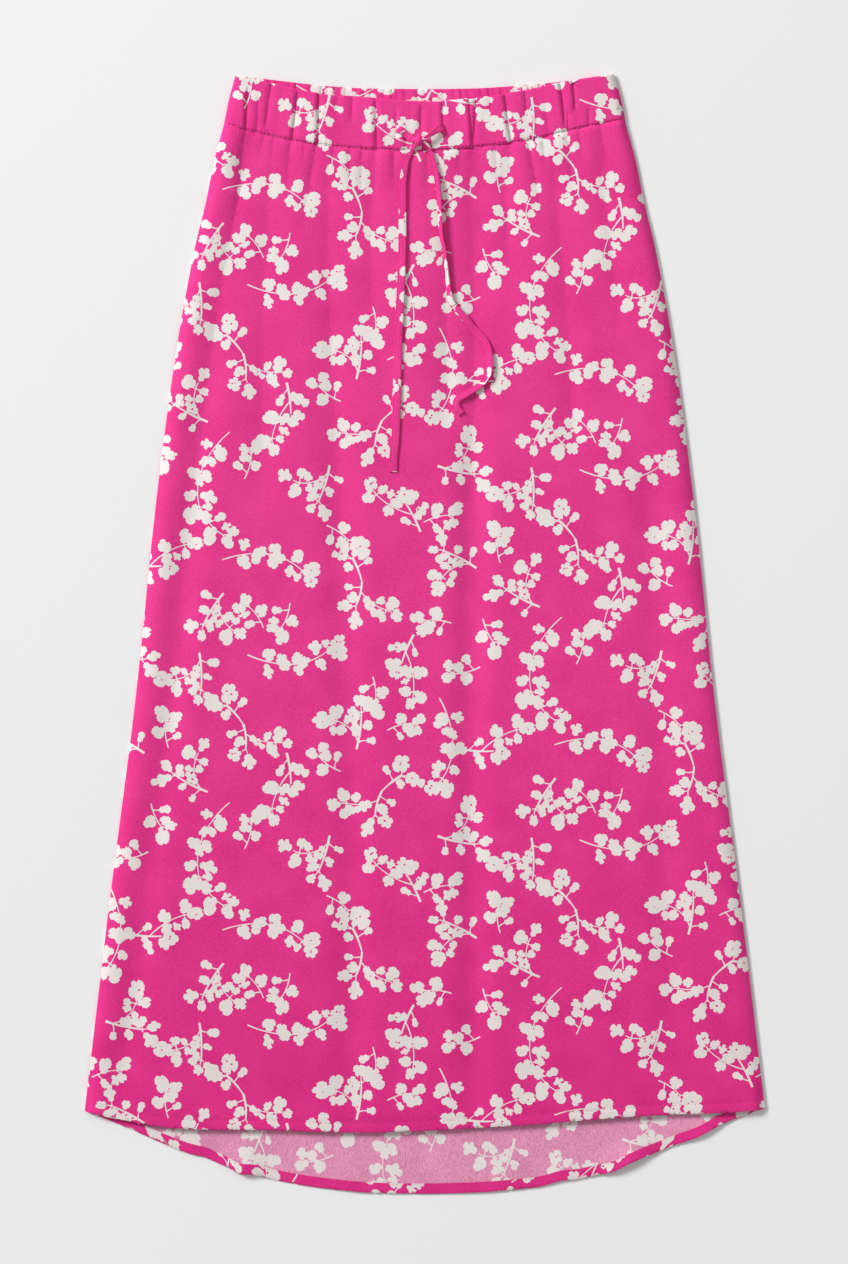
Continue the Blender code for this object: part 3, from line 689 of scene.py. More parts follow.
def fork(s):
    # a kinked bough with a blossoming twig at each end
    bough = s.stem(s.start, 0.0, 23, 0.3, True)
    onward = s.stem(bough[-1], 0.25, 23, 0.45, True)
    s.stalk(s.back, -1.1, 6, "leaf")
    s.cluster(s.back, ["small", "large"], 1.4, 6)
    s.bloom(bough[1], 1.5, "small", 1.1)
    s.stalk(bough[2], -1.9, 8, "bud")
    s.stalk(onward[1], 1.25, 8, "bud")
    twig = s.stem(onward[2], -0.85, 29, -0.6)
    s.blooms(twig, (1, 0.2, "leaf"), (3, -1.1, "small", 1.1), (4, 1.1, "small"))
    s.cluster(twig[-1], ["small", "round", s.draw.choice(("fan", "small"))], 2.6, 5)
    s.bloom(onward[3], 1.2, "small")
    s.cluster(onward[-1], ["fan", "large"], 1.5, 5)


def posy(s):
    # a short full posy, with a twig that runs on to a lighter one
    base = s.stem(s.start, 0.0, 29, -0.25, True)
    s.stalk(base[1], -1.0, 8, "bud")
    s.blooms(base, (2, 1.0, "leaf", 1.1), (-1, 1.3, "small", 1.3))
    s.blooms(base, (-1, 0.3, "large", 0.8), (-1, -0.9, "round", 1.1))
    run = s.stem(base[3], -0.85, 38, 0.55, steps=6)
    s.blooms(run, (3, -1.2, "small"), (4, 1.3, "fan", 0.9))
    s.cluster(run[-1], ["small", "round", "small"], 2.6, 4)


def sprig(s):
    # a small one for the gaps
    stem = s.stem(s.start, 0.0, 24, 0.5, steps=4)
    s.stalk(stem[1], 1.1, 7, "bud")
    s.bloom(stem[2], -1.1, "small", 1.1)
    s.bloom(stem[3], 1.2, s.draw.choice(("small", "fan")))
    s.cluster(stem[-1], ["small", "round"], 1.5, 4)


sprigMakers = {"branch": branch, "chain": chain, "fork": fork, "posy": posy, "sprig": sprig}


def makeRepeat():
    # every shape of one repeat: whether it is printed, and its outline
    shapes = []
    for place in layout:
        sprig = Sprig(place.seed, place.side)
        sprigMakers[place.kind](sprig)
        c, s = math.cos(math.radians(place.heading)), math.sin(math.radians(place.heading))

        def turned(outline):
            return np.array([(x * c - y * s, x * s + y * c) for x, y in outline])

        printed = [turned(outline) for outline in sprig.printed]
        every = np.concatenate(printed)
        move = np.array((place.x / 1000, place.y / 1000)) - (every.min(0) + every.max(0)) / 2
        shapes += [(True, outline + move) for outline in printed]
        shapes += [(False, turned(outline) + move) for outline in sprig.bare]
    return [(printed, anticlockwise(outline)) for printed, outline in shapes]


repeatShapes = makeRepeat()
print("print: %d shapes in a repeat" % len(repeatShapes))


def printOver(low, high, shift):
    # every shape of the print that touches a box of flat cloth
    found = []
    size, shift = np.array(repeatSize), np.array(shift)
    first = np.floor((low - shift) / size).astype(int) - 2
    last = np.ceil((high - shift) / size).astype(int) + 2
    for column in range(first[0], last[0]):
        for row in range(first[1], last[1]):
            move = shift + size * (column, row + 0.5 * (column % 2))
            for printed, outline in repeatShapes:
                placed = outline + move
                if (placed.max(0) > low).all() and (placed.min(0) < high).all():
                    found.append((printed, placed))
    return found


# flat cloth, cut along the print's edges

cutting = {
    "cell": 0.09,  # the cloth is divided into triangles one square at a time
    "margin": 3e-4,  # no loose point lies this near a square's edge
    "least": 1e-7,  # points nearer than this are one
    "weld": 2e-6,  # and so are those of two squares, or of the two sides' edges
    "probe": 2e-4,  # how far to each side the cloth's slope is read
    "edge": 0.004,  # a shape this near the cloth's edge keeps all its points
    "sharp": 60,  # degrees from which an edge between two faces is a fold
    "skip": 6,  # otherwise a side that hardly shows has one point of a shape in this many
}


def clipped(outline, low, high):
    # the part of an outline inside a box
    for axis, limit, keep in ((0, low[0], 1), (0, high[0], -1), (1, low[1], 1), (1, high[1], -1)):
        made = []
        for i, b in enumerate(outline):
            a = outline[i - 1]
            fromIn, toIn = (a[axis] - limit) * keep >= 0, (b[axis] - limit) * keep >= 0
            if fromIn != toIn:
                t = (limit - a[axis]) / (b[axis] - a[axis])
                crossing = [a[0] + (b[0] - a[0]) * t, a[1] + (b[1] - a[1]) * t]
                crossing[axis] = limit
                made.append(crossing)
            if toIn:
                made.append(b)
        outline = made
    return outline


def cutCell(low, high, outline, shapes, loose, border):
    # triangles of one cell: their corners, and whether each is printed
    inside = clipped(outline, low, high)
    if len(inside) < 3:
        return [], [], []
    points, faces, prints = inside[:], [list(range(len(inside)))], [False]
    for printed, shape in shapes:
        faces.append(list(range(len(points), len(points) + len(shape))))
        prints.append(printed)
        points += shape.tolist()
    for x in (low[0], high[0]):
        points += [(x, y) for y in [*border(0, x), low[1], high[1]] if low[1] <= y <= high[1]]
    for y in (low[1], high[1]):
        points += [(x, y) for x in border(1, y) if low[0] <= x <= high[0]]
    margin = cutting["margin"]
    kept = (loose > np.array(low) + margin).all(1) & (loose < np.array(high) - margin).all(1)
    points += loose[kept].tolist()
    points = [Vector(p) for p in points]
    made = geometry.delaunay_2d_cdt(points, [], faces, 1, cutting["least"], True)
    places, triangles, origins = made[0], made[2], made[5]
    chosen, marks = [], []
    for triangle, origin in zip(triangles, origins):
        if 0 in origin:
            chosen.append(triangle)
            marks.append(len(origin) > 1 and all(prints[i] for i in origin if i))
    return places, chosen, marks


def cutCloth(outline, loose, shapes, border):
    # flat cloth: its points, triangles, whether each triangle is printed, and which points are on its edge;
    # border(axis, at) gives where points go on the line between two columns (0) or rows (1) of cells
    loose = np.array(loose)
    low, high = np.min(outline, 0), np.max(outline, 0)
    outline = anticlockwise(outline)
    starts = np.array([shape.min(0) for _, shape in shapes])
    ends = np.array([shape.max(0) for _, shape in shapes])
    counts = np.maximum(np.ceil((high - low) / cutting["cell"]).astype(int), 1)
    step = (high - low) / counts
    bm = bmesh.new()
    for i in range(counts[0]):
        for j in range(counts[1]):
            near = low + step * (i, j)
            far = low + step * (i + 1, j + 1)
            touching = np.flatnonzero((ends > near).all(1) & (starts < far).all(1))
            places, corners, marks = cutCell(
                near.tolist(), far.tolist(), outline, [shapes[k] for k in touching], loose, border
            )
            verts = [bm.verts.new((p[0], p[1], 0)) for p in places]
            for triangle, printed in zip(corners, marks):
                face = bm.faces.new([verts[c] for c in triangle])
                face.material_index = int(printed)
    bmesh.ops.remove_doubles(bm, verts=bm.verts, dist=cutting["weld"])
    bmesh.ops.delete(bm, geom=[v for v in bm.verts if not v.link_faces], context="VERTS")
    bm.verts.index_update()
    flat = np.array([v.co.xy for v in bm.verts])
    triangles = [[v.index for v in face.verts] for face in bm.faces]
    printed = [face.material_index for face in bm.faces]
    onEdge = np.array([v.is_boundary for v in bm.verts])
    bm.free()
    return flat, triangles, printed, onEdge


def simpler(shapes, outline, fine):
    # the print with fewer points above the fine stretch, where it hardly shows, but not at the cloth's edge
    outline, kept = np.array(outline), []
    for printed, shape in shapes:
        if shape[:, 1].min() > fine:
            kept.append((printed, shape))
            continue
        size = np.ptp(shape, 0).max()
        atEdge = np.abs(outline - shape.mean(0)).max(1).min() < size + cutting["edge"]
        if atEdge:
            kept.append((printed, shape))
        elif printed:
            kept.append((printed, shape[:: cutting["skip"]] if len(shape) > 2 * cutting["skip"] else shape))
    return kept


def outwardWays(spot, flat, flip):
    # the cloth's outward direction at each place
    step = cutting["probe"]
    alongX = spot(flat + (step, 0)) - spot(flat - (step, 0))
    alongY = spot(flat + (0, step)) - spot(flat - (0, step))
    ways = np.cross(alongX, alongY) * (-1 if flip else 1)
    return ways / np.maximum(np.linalg.norm(ways, axis=1), 1e-12)[:, None]


def laidMesh(name, places, triangles, slots):
    mesh = bpy.data.meshes.new(name)
    mesh.from_pydata(places.tolist(), [], triangles)
    mesh.polygons.foreach_set("material_index", np.array(slots, dtype=np.int32))
    bm = bmesh.new()
    bm.from_mesh(mesh)
    return mesh, bm


def closeEdge(bm):
    # where the two sides meet, takes off a face too many and fills what is left open
    crowded = {face for edge in bm.edges if len(edge.link_faces) > 2 for face in edge.link_faces}
    flaps = [face for face in crowded if sum(edge.is_boundary for edge in face.edges) == 2]
    bmesh.ops.delete(bm, geom=flaps, context="FACES")
    bmesh.ops.holes_fill(bm, edges=[edge for edge in bm.edges if edge.is_boundary], sides=4)


def asPiece(name, mesh, materials=()):
    for material in materials:
        mesh.materials.append(material)
    piece = bpy.data.objects.new(name, mesh)
    bpy.context.scene.collection.objects.link(piece)
    return piece


def finished(piece):
    # the modifiers' result as a plain mesh, smooth but for its folds
    bpy.context.view_layer.update()
    evaluated = piece.evaluated_get(bpy.context.evaluated_depsgraph_get())
    mesh = bpy.data.meshes.new_from_object(evaluated)
    piece.modifiers.clear()
    piece.data = mesh
    mesh.name = piece.name
    mesh.shade_smooth()
    mesh.set_sharp_from_angle(angle=math.radians(cutting["sharp"]))
    print("%s: %d faces" % (piece.name, len(mesh.polygons)))
    return piece


def makeCloth(name, outline, loose, lining, borders, spot, lowered, shift, finishes, flip, fine=(0, 9)):
    # flat cloth laid in space by spot, and its inner side where lowered puts it, with one edge
    outline = [[float(x), float(y)] for x, y in outline]
    shapes = printOver(np.min(outline, 0), np.max(outline, 0), shift)
    (flat, outer, marks, outerEdge), (under, inner, innerMarks, innerEdge) = (
        cutCloth(outline, points, simpler(shapes, outline, fineFrom), border)
        for points, fineFrom, border in zip((loose, lining), fine, borders)
    )
    sunk = np.where(innerEdge[:, None], spot(under), lowered(under))
    if flip:
        outer = [t[::-1] for t in outer]
    else:
        inner = [t[::-1] for t in inner]
    inner = [[corner + len(flat) for corner in t] for t in inner]
    slots = marks + [2 + mark for mark in innerMarks]
    mesh, bm = laidMesh(name, np.concatenate([spot(flat), sunk]), outer + inner, slots)
    edge = [v for v, isEdge in zip(bm.verts, np.concatenate([outerEdge, innerEdge])) if isEdge]
    bmesh.ops.remove_doubles(bm, verts=edge, dist=cutting["weld"])
    closeEdge(bm)
    bm.to_mesh(mesh)
    bm.free()
    print("%s: %d and %d triangles" % (name, len(outer), len(inner)))
    return finished(asPiece(name, mesh, finishes))


def belowBy(spot, flip, slack=None):
    # the inner side: a thickness below the outer one, and lower still by slack where it has fine creases
    def lowered(flat):
        places = spot(flat) - outwardWays(spot, flat, flip) * cut["thickness"]
        if slack:
            places[:, 2] -= slack(flat)
        return places

    return lowered


def staggered(low, high, stepX, stepY):
    rows = np.arange(low[1] + stepY / 2, high[1], stepY)
    points = []
    for k, y in enumerate(rows):
        xs = np.arange(low[0] + stepX * (0.25 + 0.5 * (k % 2)), high[0], stepX)
        points += [(x, y) for x in xs]
    return points


def alongEdge(edge, offsets, spacing, wide=float(halfWidth(0.05))):
    # rows of points beside an edge given as a drop, spaced along it
    points = []
    for across in np.linspace(-0.995, 0.995, int(2 * wide / spacing)):
        for offset in offsets:
            drop = edge(across) + offset
            points.append((across * halfWidth(drop), drop))
    return points


def besideSides(start, end, offsets, spacing):
    return [
        (side * (halfWidth(drop) - offset), drop)
        for drop in np.arange(start, end, spacing) for offset in offsets for side in (-1, 1)
    ]


def edgeLines(top, bottom, topOffsets, bottomOffsets, sideOffsets, stepX, stepY):
    # where points go on the lines between cells: even ones, and the rows that follow the edges
    def border(axis, at):
        if axis == 1:
            wide = float(halfWidth(at))
            return [*np.arange(-0.35, 0.35, stepX), *[s * (wide - o) for o in sideOffsets for s in (-1, 1)]]
        upper = np.clip(at / halfWidth(top(np.clip(at / 0.18, -1, 1))), -1, 1)
        lower = np.clip(at / halfWidth(bottom(0.0)), -1, 1)
        rows = [float(top(upper)) + offset for offset in topOffsets]
        rows += [float(bottom(lower)) + offset for offset in bottomOffsets]
        return rows + list(np.arange(-0.08, 1.1, stepY))

    return border


# finishes

finishes = {
    "pink": (0.753, 0.0478, 0.2585),
    "white": (0.778, 0.722, 0.698),
    "palePink": (0.705, 0.272, 0.428),
    "paleWhite": (0.765, 0.690, 0.685),
    "thread": (0.600, 0.030, 0.180),
    "satin": (0.800, 0.110, 0.340),
    "deeper": (0.50, 0.96),  # the drops between which painted shade darkens the right side's colours towards the hem
    "deepPink": (0.909, 0.685, 0.865),  # and what painted shade leaves of them there
    "deepWhite": (0.950, 0.930, 0.940),
    "grain": 0.0007,  # size of the crepe's grain
    "slub": (0.0007, 0.0028),  # width and height of the flecks on the wrong side
    "grainDepth": 0.00012,
}


def addNode(tree, kind, settings=(), **inputs):
    # its settings as pairs, its inputs by name
    node = tree.nodes.new(kind)
    for name, value in settings:
        setattr(node, name, value)
    for name, value in inputs.items():
        node.inputs[name].default_value = value
    return node


def join(tree, *rows):
    # links, each given as a node, its output, a node and its input
    for source, output, target, entry in rows:
        tree.links.new(source.outputs[output], target.inputs[entry])


def crepe(name, colour, contrast, stretch, roughness=0.82, grainDepth=None, deep=(1, 1, 1)):
    # matt crepe: a fine grain that lightens and darkens the colour, a slow unevenness, and painted shade
    # down it, from none to what the colour is multiplied by where the painted shade is deepest
    material = bpy.data.materials.new(name)
    material.use_nodes = True
    tree = material.node_tree
    shader = tree.nodes["Principled BSDF"]
    shader.inputs["Roughness"].default_value = roughness
    shader.inputs["Specular IOR Level"].default_value = 0.0
    where = addNode(tree, "ShaderNodeTexCoord")
    spread = addNode(tree, "ShaderNodeMapping", Scale=(1 / stretch[0], 1 / stretch[1], 1 / stretch[0]))
    grain = addNode(tree, "ShaderNodeTexNoise", Scale=1.0, Detail=2.0, Roughness=0.6)
    slow = addNode(tree, "ShaderNodeTexNoise", Scale=28.0, Detail=1.0)
    both = addNode(tree, "ShaderNodeMath", [("operation", "MULTIPLY_ADD")])
    both.inputs[1].default_value = 0.25
    ramp = addNode(tree, "ShaderNodeValToRGB")
    stops = ((0.42, 1 - contrast), (0.82, 1 + contrast))
    for element, (position, lift) in zip(ramp.color_ramp.elements, stops):
        element.position = position
        element.color = (*[min(channel * lift + (lift - 1) * 0.10, 1.0) for channel in colour], 1)
    place = addNode(tree, "ShaderNodeSeparateXYZ")
    # painted shade: none above the first drop, whole below the second, darker towards the hem
    down = addNode(tree, "ShaderNodeMapRange")
    for limit, drop in zip(("From Min", "From Max"), finishes["deeper"]):
        down.inputs[limit].default_value = topY - drop
    paintedShadeMix = addNode(tree, "ShaderNodeMix", [("data_type", "RGBA"), ("blend_type", "MULTIPLY")])
    shade = {(socket.name, socket.type): socket for socket in [*paintedShadeMix.inputs, *paintedShadeMix.outputs]}
    shade["B", "RGBA"].default_value = (*deep, 1)
    bump = addNode(tree, "ShaderNodeBump", Strength=0.5, Distance=grainDepth or finishes["grainDepth"])
    join(
        tree, (where, "Object", spread, "Vector"), (spread, "Vector", grain, "Vector"),
        (where, "Object", slow, "Vector"), (slow, "Fac", both, 0), (grain, "Fac", both, 2),
        (both, "Value", ramp, "Fac"), (where, "Object", place, "Vector"), (place, "Y", down, "Value"),
        (grain, "Fac", bump, "Height"), (bump, "Normal", shader, "Normal"),
    )
    tree.links.new(down.outputs["Result"], shade["Factor", "VALUE"])
    tree.links.new(ramp.outputs["Color"], shade["A", "RGBA"])
    tree.links.new(shade["Result", "RGBA"], shader.inputs["Base Color"])
    return material


def makeFinishes():
    fine = (finishes["grain"], finishes["grain"])
    # the right side's two crepes carry painted shade towards the hem
    rightSide = [
        crepe("pinkCrepe", finishes["pink"], 0.14, fine, deep=finishes["deepPink"]),
        crepe("printedWhite", finishes["white"], 0.045, fine, deep=finishes["deepWhite"]),
    ]
    wrongSide = [
        crepe("wrongSide", finishes["palePink"], 0.22, finishes["slub"], 0.88),
        crepe("wrongSidePrint", finishes["paleWhite"], 0.05, finishes["slub"], 0.88),
    ]
    threads = [crepe(name, finishes[name], 0.06, fine, 0.6, 0.00005) for name in ("thread", "satin")]
    return rightSide, wrongSide, threads


# ties

tie = {
    "width": 0.0074,
    "thickness": 0.0009,
    "gap": 0.0003,  # between it and the cloth
    # half its section from the middle of its underside round to the middle of its top, as shares of half
    # the width and half the thickness, then its other half with the line of its stitched edge
    "plain": (
        (0, -1), (0.62, -1), (0.90, -0.95), (0.98, -0.60), (1.0, 0.0), (0.985, 0.65), (0.92, 1.0),
        (0.5, 1.0),
    ),
    "stitched": (
        (0.0, 1.0), (0.46, 0.98), (0.60, 0.52), (0.72, 1.0), (0.92, 0.98), (0.985, 0.6), (1, 0),
        (0.97, -0.7), (0.88, -1),
    ),
    "step": 0.0020,  # between its sections
    "ripple": (0.00012, 0.0043, 0.031),  # height of the unevenness of its top, and how long its waves are
    "buttonholes": {"left": -0.0253, "right": 0.0170},  # where they lie
    "linkDrop": 0.0500,  # and the drop of their middles
    "weld": 1e-5,
}
knotForm = {
    "centre": (-0.0056, 0.0624),
    "height": 0.0032,  # its middle over the casing
    "slant": -38,  # degrees from +y of the way the wrap goes over
    "turns": 48,  # of the wrap's mesh, along it
    "around": 14,  # and round it
    "loop": (0.0037, 0.0030),  # half the wrap's length over the ties and its height
    "half": 0.0034,  # half the wrap's width
    "pinch": 0.0008,  # less of it on top
    "skew": 0.0006,  # how far its two crossings lie apart
    "thick": 0.00085,  # half the wrap's thickness
    "core": (0.0052, 0.0031, 0.0026),  # half the size of the bunch inside
}
# from the buttonhole through the knot to the free end: where, how wide and thick, how far it stands on edge
# in degrees, and how high over the cloth, with lengths in tenths of a millimetre
Tie = namedtuple("Tie", "x drop width thickness roll lift")


def tieRows(*rows):
    return [Tie(*(v if name == "roll" else v / 10000 for name, v in zip(Tie._fields, row))) for row in rows]


leftTie = tieRows(
    (-259, 512, 64, 12, 0, -22), (-253, 514, 64, 12, 0, 2), (-236, 521, 64, 12, 0, 12),
    (-195, 543, 62, 12, 0, 12), (-158, 578, 62, 13, 5, 14), (-120, 606, 58, 17, 8, 18),
    (-84, 628, 44, 24, 8, 22), (-72, 643, 36, 26, 0, 20), (-102, 668, 40, 22, 0, 12),
    (-140, 742, 46, 17, 0, 6), (-165, 790, 52, 14, 0, 2), (-180, 850, 58, 12, 0, 0),
    (-204, 1030, 66, 11, 0, 0), (-206, 1300, 70, 11, 0, 0), (-207, 1527, 72, 11, 0, 0),
    (-212, 1730, 72, 11, 4, 0), (-224, 2006, 74, 11, 6, 0), (-234, 2230, 74, 11, 6, 0),
    (-244, 2447, 74, 11, 4, 0), (-251, 2700, 74, 11, 4, 0), (-258, 2953, 76, 11, 4, 0),
    (-264, 3150, 76, 11, 4, 0), (-271, 3349, 76, 11, 2, 0), (-286, 3500, 78, 11, 0, 0),
    (-294, 3662, 80, 11, 0, 0),
)
rightTie = tieRows(
    (177, 497, 66, 12, 0, -22), (170, 499, 66, 12, 0, 2), (152, 506, 66, 12, 0, 14),
    (110, 532, 58, 14, -10, 18), (60, 570, 44, 20, -25, 22), (8, 600, 36, 26, -20, 24),
    (-30, 622, 34, 26, 0, 22), (-22, 640, 36, 24, 0, 18), (22, 672, 42, 18, 0, 10), (55, 745, 48, 15, 0, 4),
    (96, 892, 50, 13, 12, 0), (120, 1058, 52, 13, 22, 0), (133, 1224, 50, 13, 34, 0),
    (147, 1472, 46, 14, 46, 0), (175, 1601, 44, 14, 50, 0), (193, 1766, 44, 14, 50, 0),
    (212, 1932, 48, 13, 42, 0), (235, 2079, 56, 12, 28, 0), (285, 2162, 64, 11, 16, 0),
    (368, 2254, 70, 11, 8, 0), (442, 2346, 74, 11, 0, 0), (515, 2420, 74, 11, 0, 0),
    (570, 2512, 72, 11, 8, 0), (594, 2631, 66, 12, 20, 0), (589, 2760, 60, 12, 28, 0),
    (534, 2843, 58, 12, 26, 0), (442, 2907, 60, 12, 18, 0), (359, 2958, 64, 11, 10, 0),
    (295, 3000, 62, 12, 6, 0), (290, 3065, 62, 12, 4, 0), (331, 3128, 64, 11, 0, 0),
)


def clothUnder(x, y, reach):
    # the highest cloth within reach of each place
    around = np.linspace(-1, 1, 5)
    return np.max([skirtTop(x + a * reach, y + b * reach) for a in around for b in around], axis=0)


def tieSections(rows):
    # centre, way along and size at even steps down a tie, on a smooth curve through its rows
    stops = np.arange(len(rows), dtype=float)
    Stop = namedtuple("Stop", "at " + " ".join(Tie._fields))
    table = [Stop(at, *row) for at, row in zip(stops, rows)]
    reads = {field: smoothTable(table, field) for field in Tie._fields}
    fine = np.linspace(0, len(rows) - 1, 16 * (len(rows) - 1) + 1)
    xs, ys = reads["x"](fine), topY - reads["drop"](fine)
    lifts, wide, thick, rolls = (reads[f](fine) for f in ("lift", "width", "thickness", "roll"))
    stand = wide / 2 * np.abs(np.sin(np.radians(rolls))) + thick / 2
    base = np.where(np.abs(lifts) > 1e-5, skirtTop(xs, ys), clothUnder(xs, ys, wide / 2))
    zs = base + lifts + stand + tie["gap"]
    zs = np.convolve(np.pad(zs, 6, mode="edge"), np.ones(13) / 13, mode="valid")
    line = np.stack([xs, ys, zs], 1)
    reach = np.concatenate([[0], np.cumsum(np.linalg.norm(np.diff(line, axis=0), axis=1))])
    count = int(reach[-1] / tie["step"])
    at = np.linspace(0, reach[-1], count + 1)
    centres = np.stack([np.interp(at, reach, line[:, k]) for k in range(3)], 1)
    ways = np.gradient(centres, axis=0)
    ways[:, 2] *= 0.5
    ways /= np.linalg.norm(ways, axis=1)[:, None]
    sizes = [np.interp(at, reach, values) for values in (wide, thick, rolls)]
    return at, centres, ways, sizes


def makeTie(name, rows, shift, finish):
    at, centres, ways, (wide, thick, rolls) = tieSections(rows)
    stitched = [(-a, b) for a, b in tie["stitched"]]
    section = np.array([*tie["plain"], *stitched, tie["plain"][0]], dtype=float)
    lengths = np.linalg.norm(np.diff(section * (tie["width"] / 2, tie["thickness"] / 2), axis=0), axis=1)
    columns = np.concatenate([[0], np.cumsum(lengths)])
    girth = float(columns[-1])
    up = np.array((0.0, 0.0, 1.0))
    sideways = np.cross(up, ways)
    sideways /= np.linalg.norm(sideways, axis=1)[:, None]
    lean = np.radians(rolls)[:, None]
    above = np.cross(ways, sideways)
    wideWay = sideways * np.cos(lean) + above * np.sin(lean)
    thickWay = np.cross(ways, wideWay)

    def spot(flat):
        # round a flattened section, from the middle of its underside
        down = flat[:, 1]
        fields = (centres, wideWay, thickWay)
        centre, wideAt, thickAt = (
            np.array([np.interp(down, at, field[:, k]) for k in range(3)]).T for field in fields
        )
        halfWide, halfThick = np.interp(down, at, wide) / 2, np.interp(down, at, thick) / 2
        share = [np.interp(flat[:, 0], columns, section[:, k]) for k in range(2)]
        height, short, long = tie["ripple"]
        ripple = height * np.sin(down / short + 3 * np.sin(down / long))
        through = share[1] * halfThick + np.where(share[1] > 0, ripple * np.abs(share[0]), 0)
        return centre + wideAt * (share[0] * halfWide)[:, None] + thickAt * through[:, None]

    length = float(at[-1])
    loose = [(x, y) for x in columns[1:-1] for y in np.arange(tie["step"], length - 0.0005, tie["step"])]
    edge = [(0.0, y) for y in np.arange(0, length, tie["step"])] + [(0.0, length)]
    other = [(girth, y) for _, y in edge[::-1]]
    ends = [(x, length) for x in columns[1:-1]], [(x, 0.0) for x in columns[-2:0:-1]]
    outline = [[float(x), float(y)] for x, y in edge + ends[0] + other + ends[1]]
    shapes = printOver(np.min(outline, 0), np.max(outline, 0), shift)
    flat, triangles, marks, _ = cutCloth(outline, loose, shapes, lambda axis, at: columns if axis else [])
    mesh, bm = laidMesh(name, spot(flat), triangles, marks)
    bmesh.ops.remove_doubles(bm, verts=bm.verts, dist=tie["weld"])
    bmesh.ops.delete(bm, geom=[v for v in bm.verts if not v.link_faces], context="VERTS")
    bmesh.ops.holes_fill(bm, edges=[e for e in bm.edges if e.is_boundary], sides=0)
    bmesh.ops.triangulate(bm, faces=[f for f in bm.faces if len(f.verts) > 3])
    bmesh.ops.recalc_face_normals(bm, faces=bm.faces)
    bm.to_mesh(mesh)
    bm.free()
    return finished(asPiece(name, mesh, finish)), centres, length


def makeKnot(finish):
    # a single knot: the bunched ties inside a wrap that goes over them aslant
    x, drop = knotForm["centre"]
    base = float(skirtTop(x, topY - drop))
    middle = Vector((x, topY - drop, base + knotForm["height"]))
    bm = bmesh.new()
    steps, around = knotForm["turns"], knotForm["around"]
    reach, rise = knotForm["loop"]
    slant = math.radians(knotForm["slant"])
    over = Vector((math.sin(slant), math.cos(slant), 0))
    along = Vector((math.cos(slant), -math.sin(slant), 0))
    rings = []
    for i in range(steps):
        turn = 2 * math.pi * i / steps
        out = over * math.sin(turn) * reach + Vector((0, 0, math.cos(turn) * rise))
        away = (over * math.sin(turn) * rise + Vector((0, 0, math.cos(turn) * reach))).normalized()
        halfWide = knotForm["half"] - knotForm["pinch"] * hump(math.cos(turn) - 1, 0.5)
        ring = []
        for k in range(around):
            angle = 2 * math.pi * k / around
            c, s = math.cos(angle), math.sin(angle)
            ripple = 1 + 0.30 * math.sin(3 * angle + 0.8) * (s > 0)
            across = math.copysign(abs(c) ** 0.7, c) * halfWide
            aside = along * (across + knotForm["skew"] * math.sin(turn))
            ring.append(bm.verts.new(middle + out + aside + away * (s * knotForm["thick"] * ripple)))
        rings.append(ring)
    for i in range(steps):
        for k in range(around):
            a, b = rings[i], rings[(i + 1) % steps]
            bm.faces.new((a[k], b[k], b[(k + 1) % around], a[(k + 1) % around]))
    long, wide, high = knotForm["core"]
    for vert in bmesh.ops.create_uvsphere(bm, u_segments=28, v_segments=18, radius=1.0)["verts"]:
        p = vert.co
        crease = 1 + 0.10 * math.sin(7 * p.x + 2 * p.y) * (1 - abs(p.z))
        upward = Vector((0, 0, p.z * high * crease))
        vert.co = middle + along * (p.x * long * crease) + over * (p.y * wide) + upward
    bmesh.ops.recalc_face_normals(bm, faces=bm.faces)
    mesh = bpy.data.meshes.new("tieKnot")
    bm.to_mesh(mesh)
    bm.free()
    piece = asPiece("tieKnot", mesh, [finish])
    smooth = piece.modifiers.new("smooth", "SUBSURF")
    smooth.levels = smooth.render_levels = 1
    return finished(piece)


# panels and casings

spacing = {
    "across": 0.0036,  # between the loose points of a panel
    "along": 0.0080,
    "coarseFrom": 0.17,  # the drop from which they are further apart
    "seam": 0.00095,  # along the waist seam, whose puckers are fine
    "hem": 0.0040,
    "coarser": 1.8,  # by how much
    "bandAcross": 0.0013,
    "bandAlong": 0.0026,
    "lining": (0.0016, 0.0045),  # rows of a panel's inner side below its top
    "liningSides": (0.0012, 0.0034),  # and in from its sides
    "bandSides": (0.0003, 0.0008, 0.0015, 0.0024, 0.0034),
    "bandInner": 0.040,  # length of a casing's cloth inside it
    "folded": (0.0, 0.2, 0.4, 0.6, 0.8, 1.0),  # places round the fold of a casing's top, as shares
}
panelTuck = 0.0009  # how far a panel goes under its casing
printShifts = {
    "front": (0.052, 0.012),
    "back": (-0.083, 0.121),
    "backBand": (0.120, 0.250),
    "leftTie": (0.364, 0.120),
    "rightTie": (0.016, 0.170),
}


def panelOutline(top, hem, tuck):
    # a panel flat, with its turn-up beyond the hem's line
    fold = lay["hemFold"]
    beyond = (math.pi - 1) * fold + cut["hemDepth"]
    across = np.linspace(-1, 1, 181)
    upper = [(a * halfWidth(top(a)), top(a) - tuck) for a in np.linspace(-1, 1, 401)]
    lower = [(a * halfWidth(hem(a)), hem(a) + beyond) for a in across[::-1]]
    drops = np.linspace(0, 1, 161)[1:-1]
    right = [(float(halfWidth(d)), d) for d in mix(top(1.0), hem(1.0) + beyond, drops)]
    left = [(-float(halfWidth(d)), d) for d in mix(top(-1.0), hem(-1.0) + beyond, drops[::-1])]
    return upper + right + lower + left


sideOffsets = (0.00015, 0.0005, 0.0010, 0.0018, 0.0028, 0.0040, 0.0065)


def hemRows(turns, turnUp, above):
    # places across a turned hem from its line: round the fold, on the turn-up and by the stitches
    fold = lay["hemFold"]
    rows = [(share * math.pi - 1) * fold for share in turns]
    rows += [(math.pi - 1) * fold + cut["hemDepth"] * share for share in turnUp]
    return rows + [-fold - cut["hemDepth"] * share for share in above]


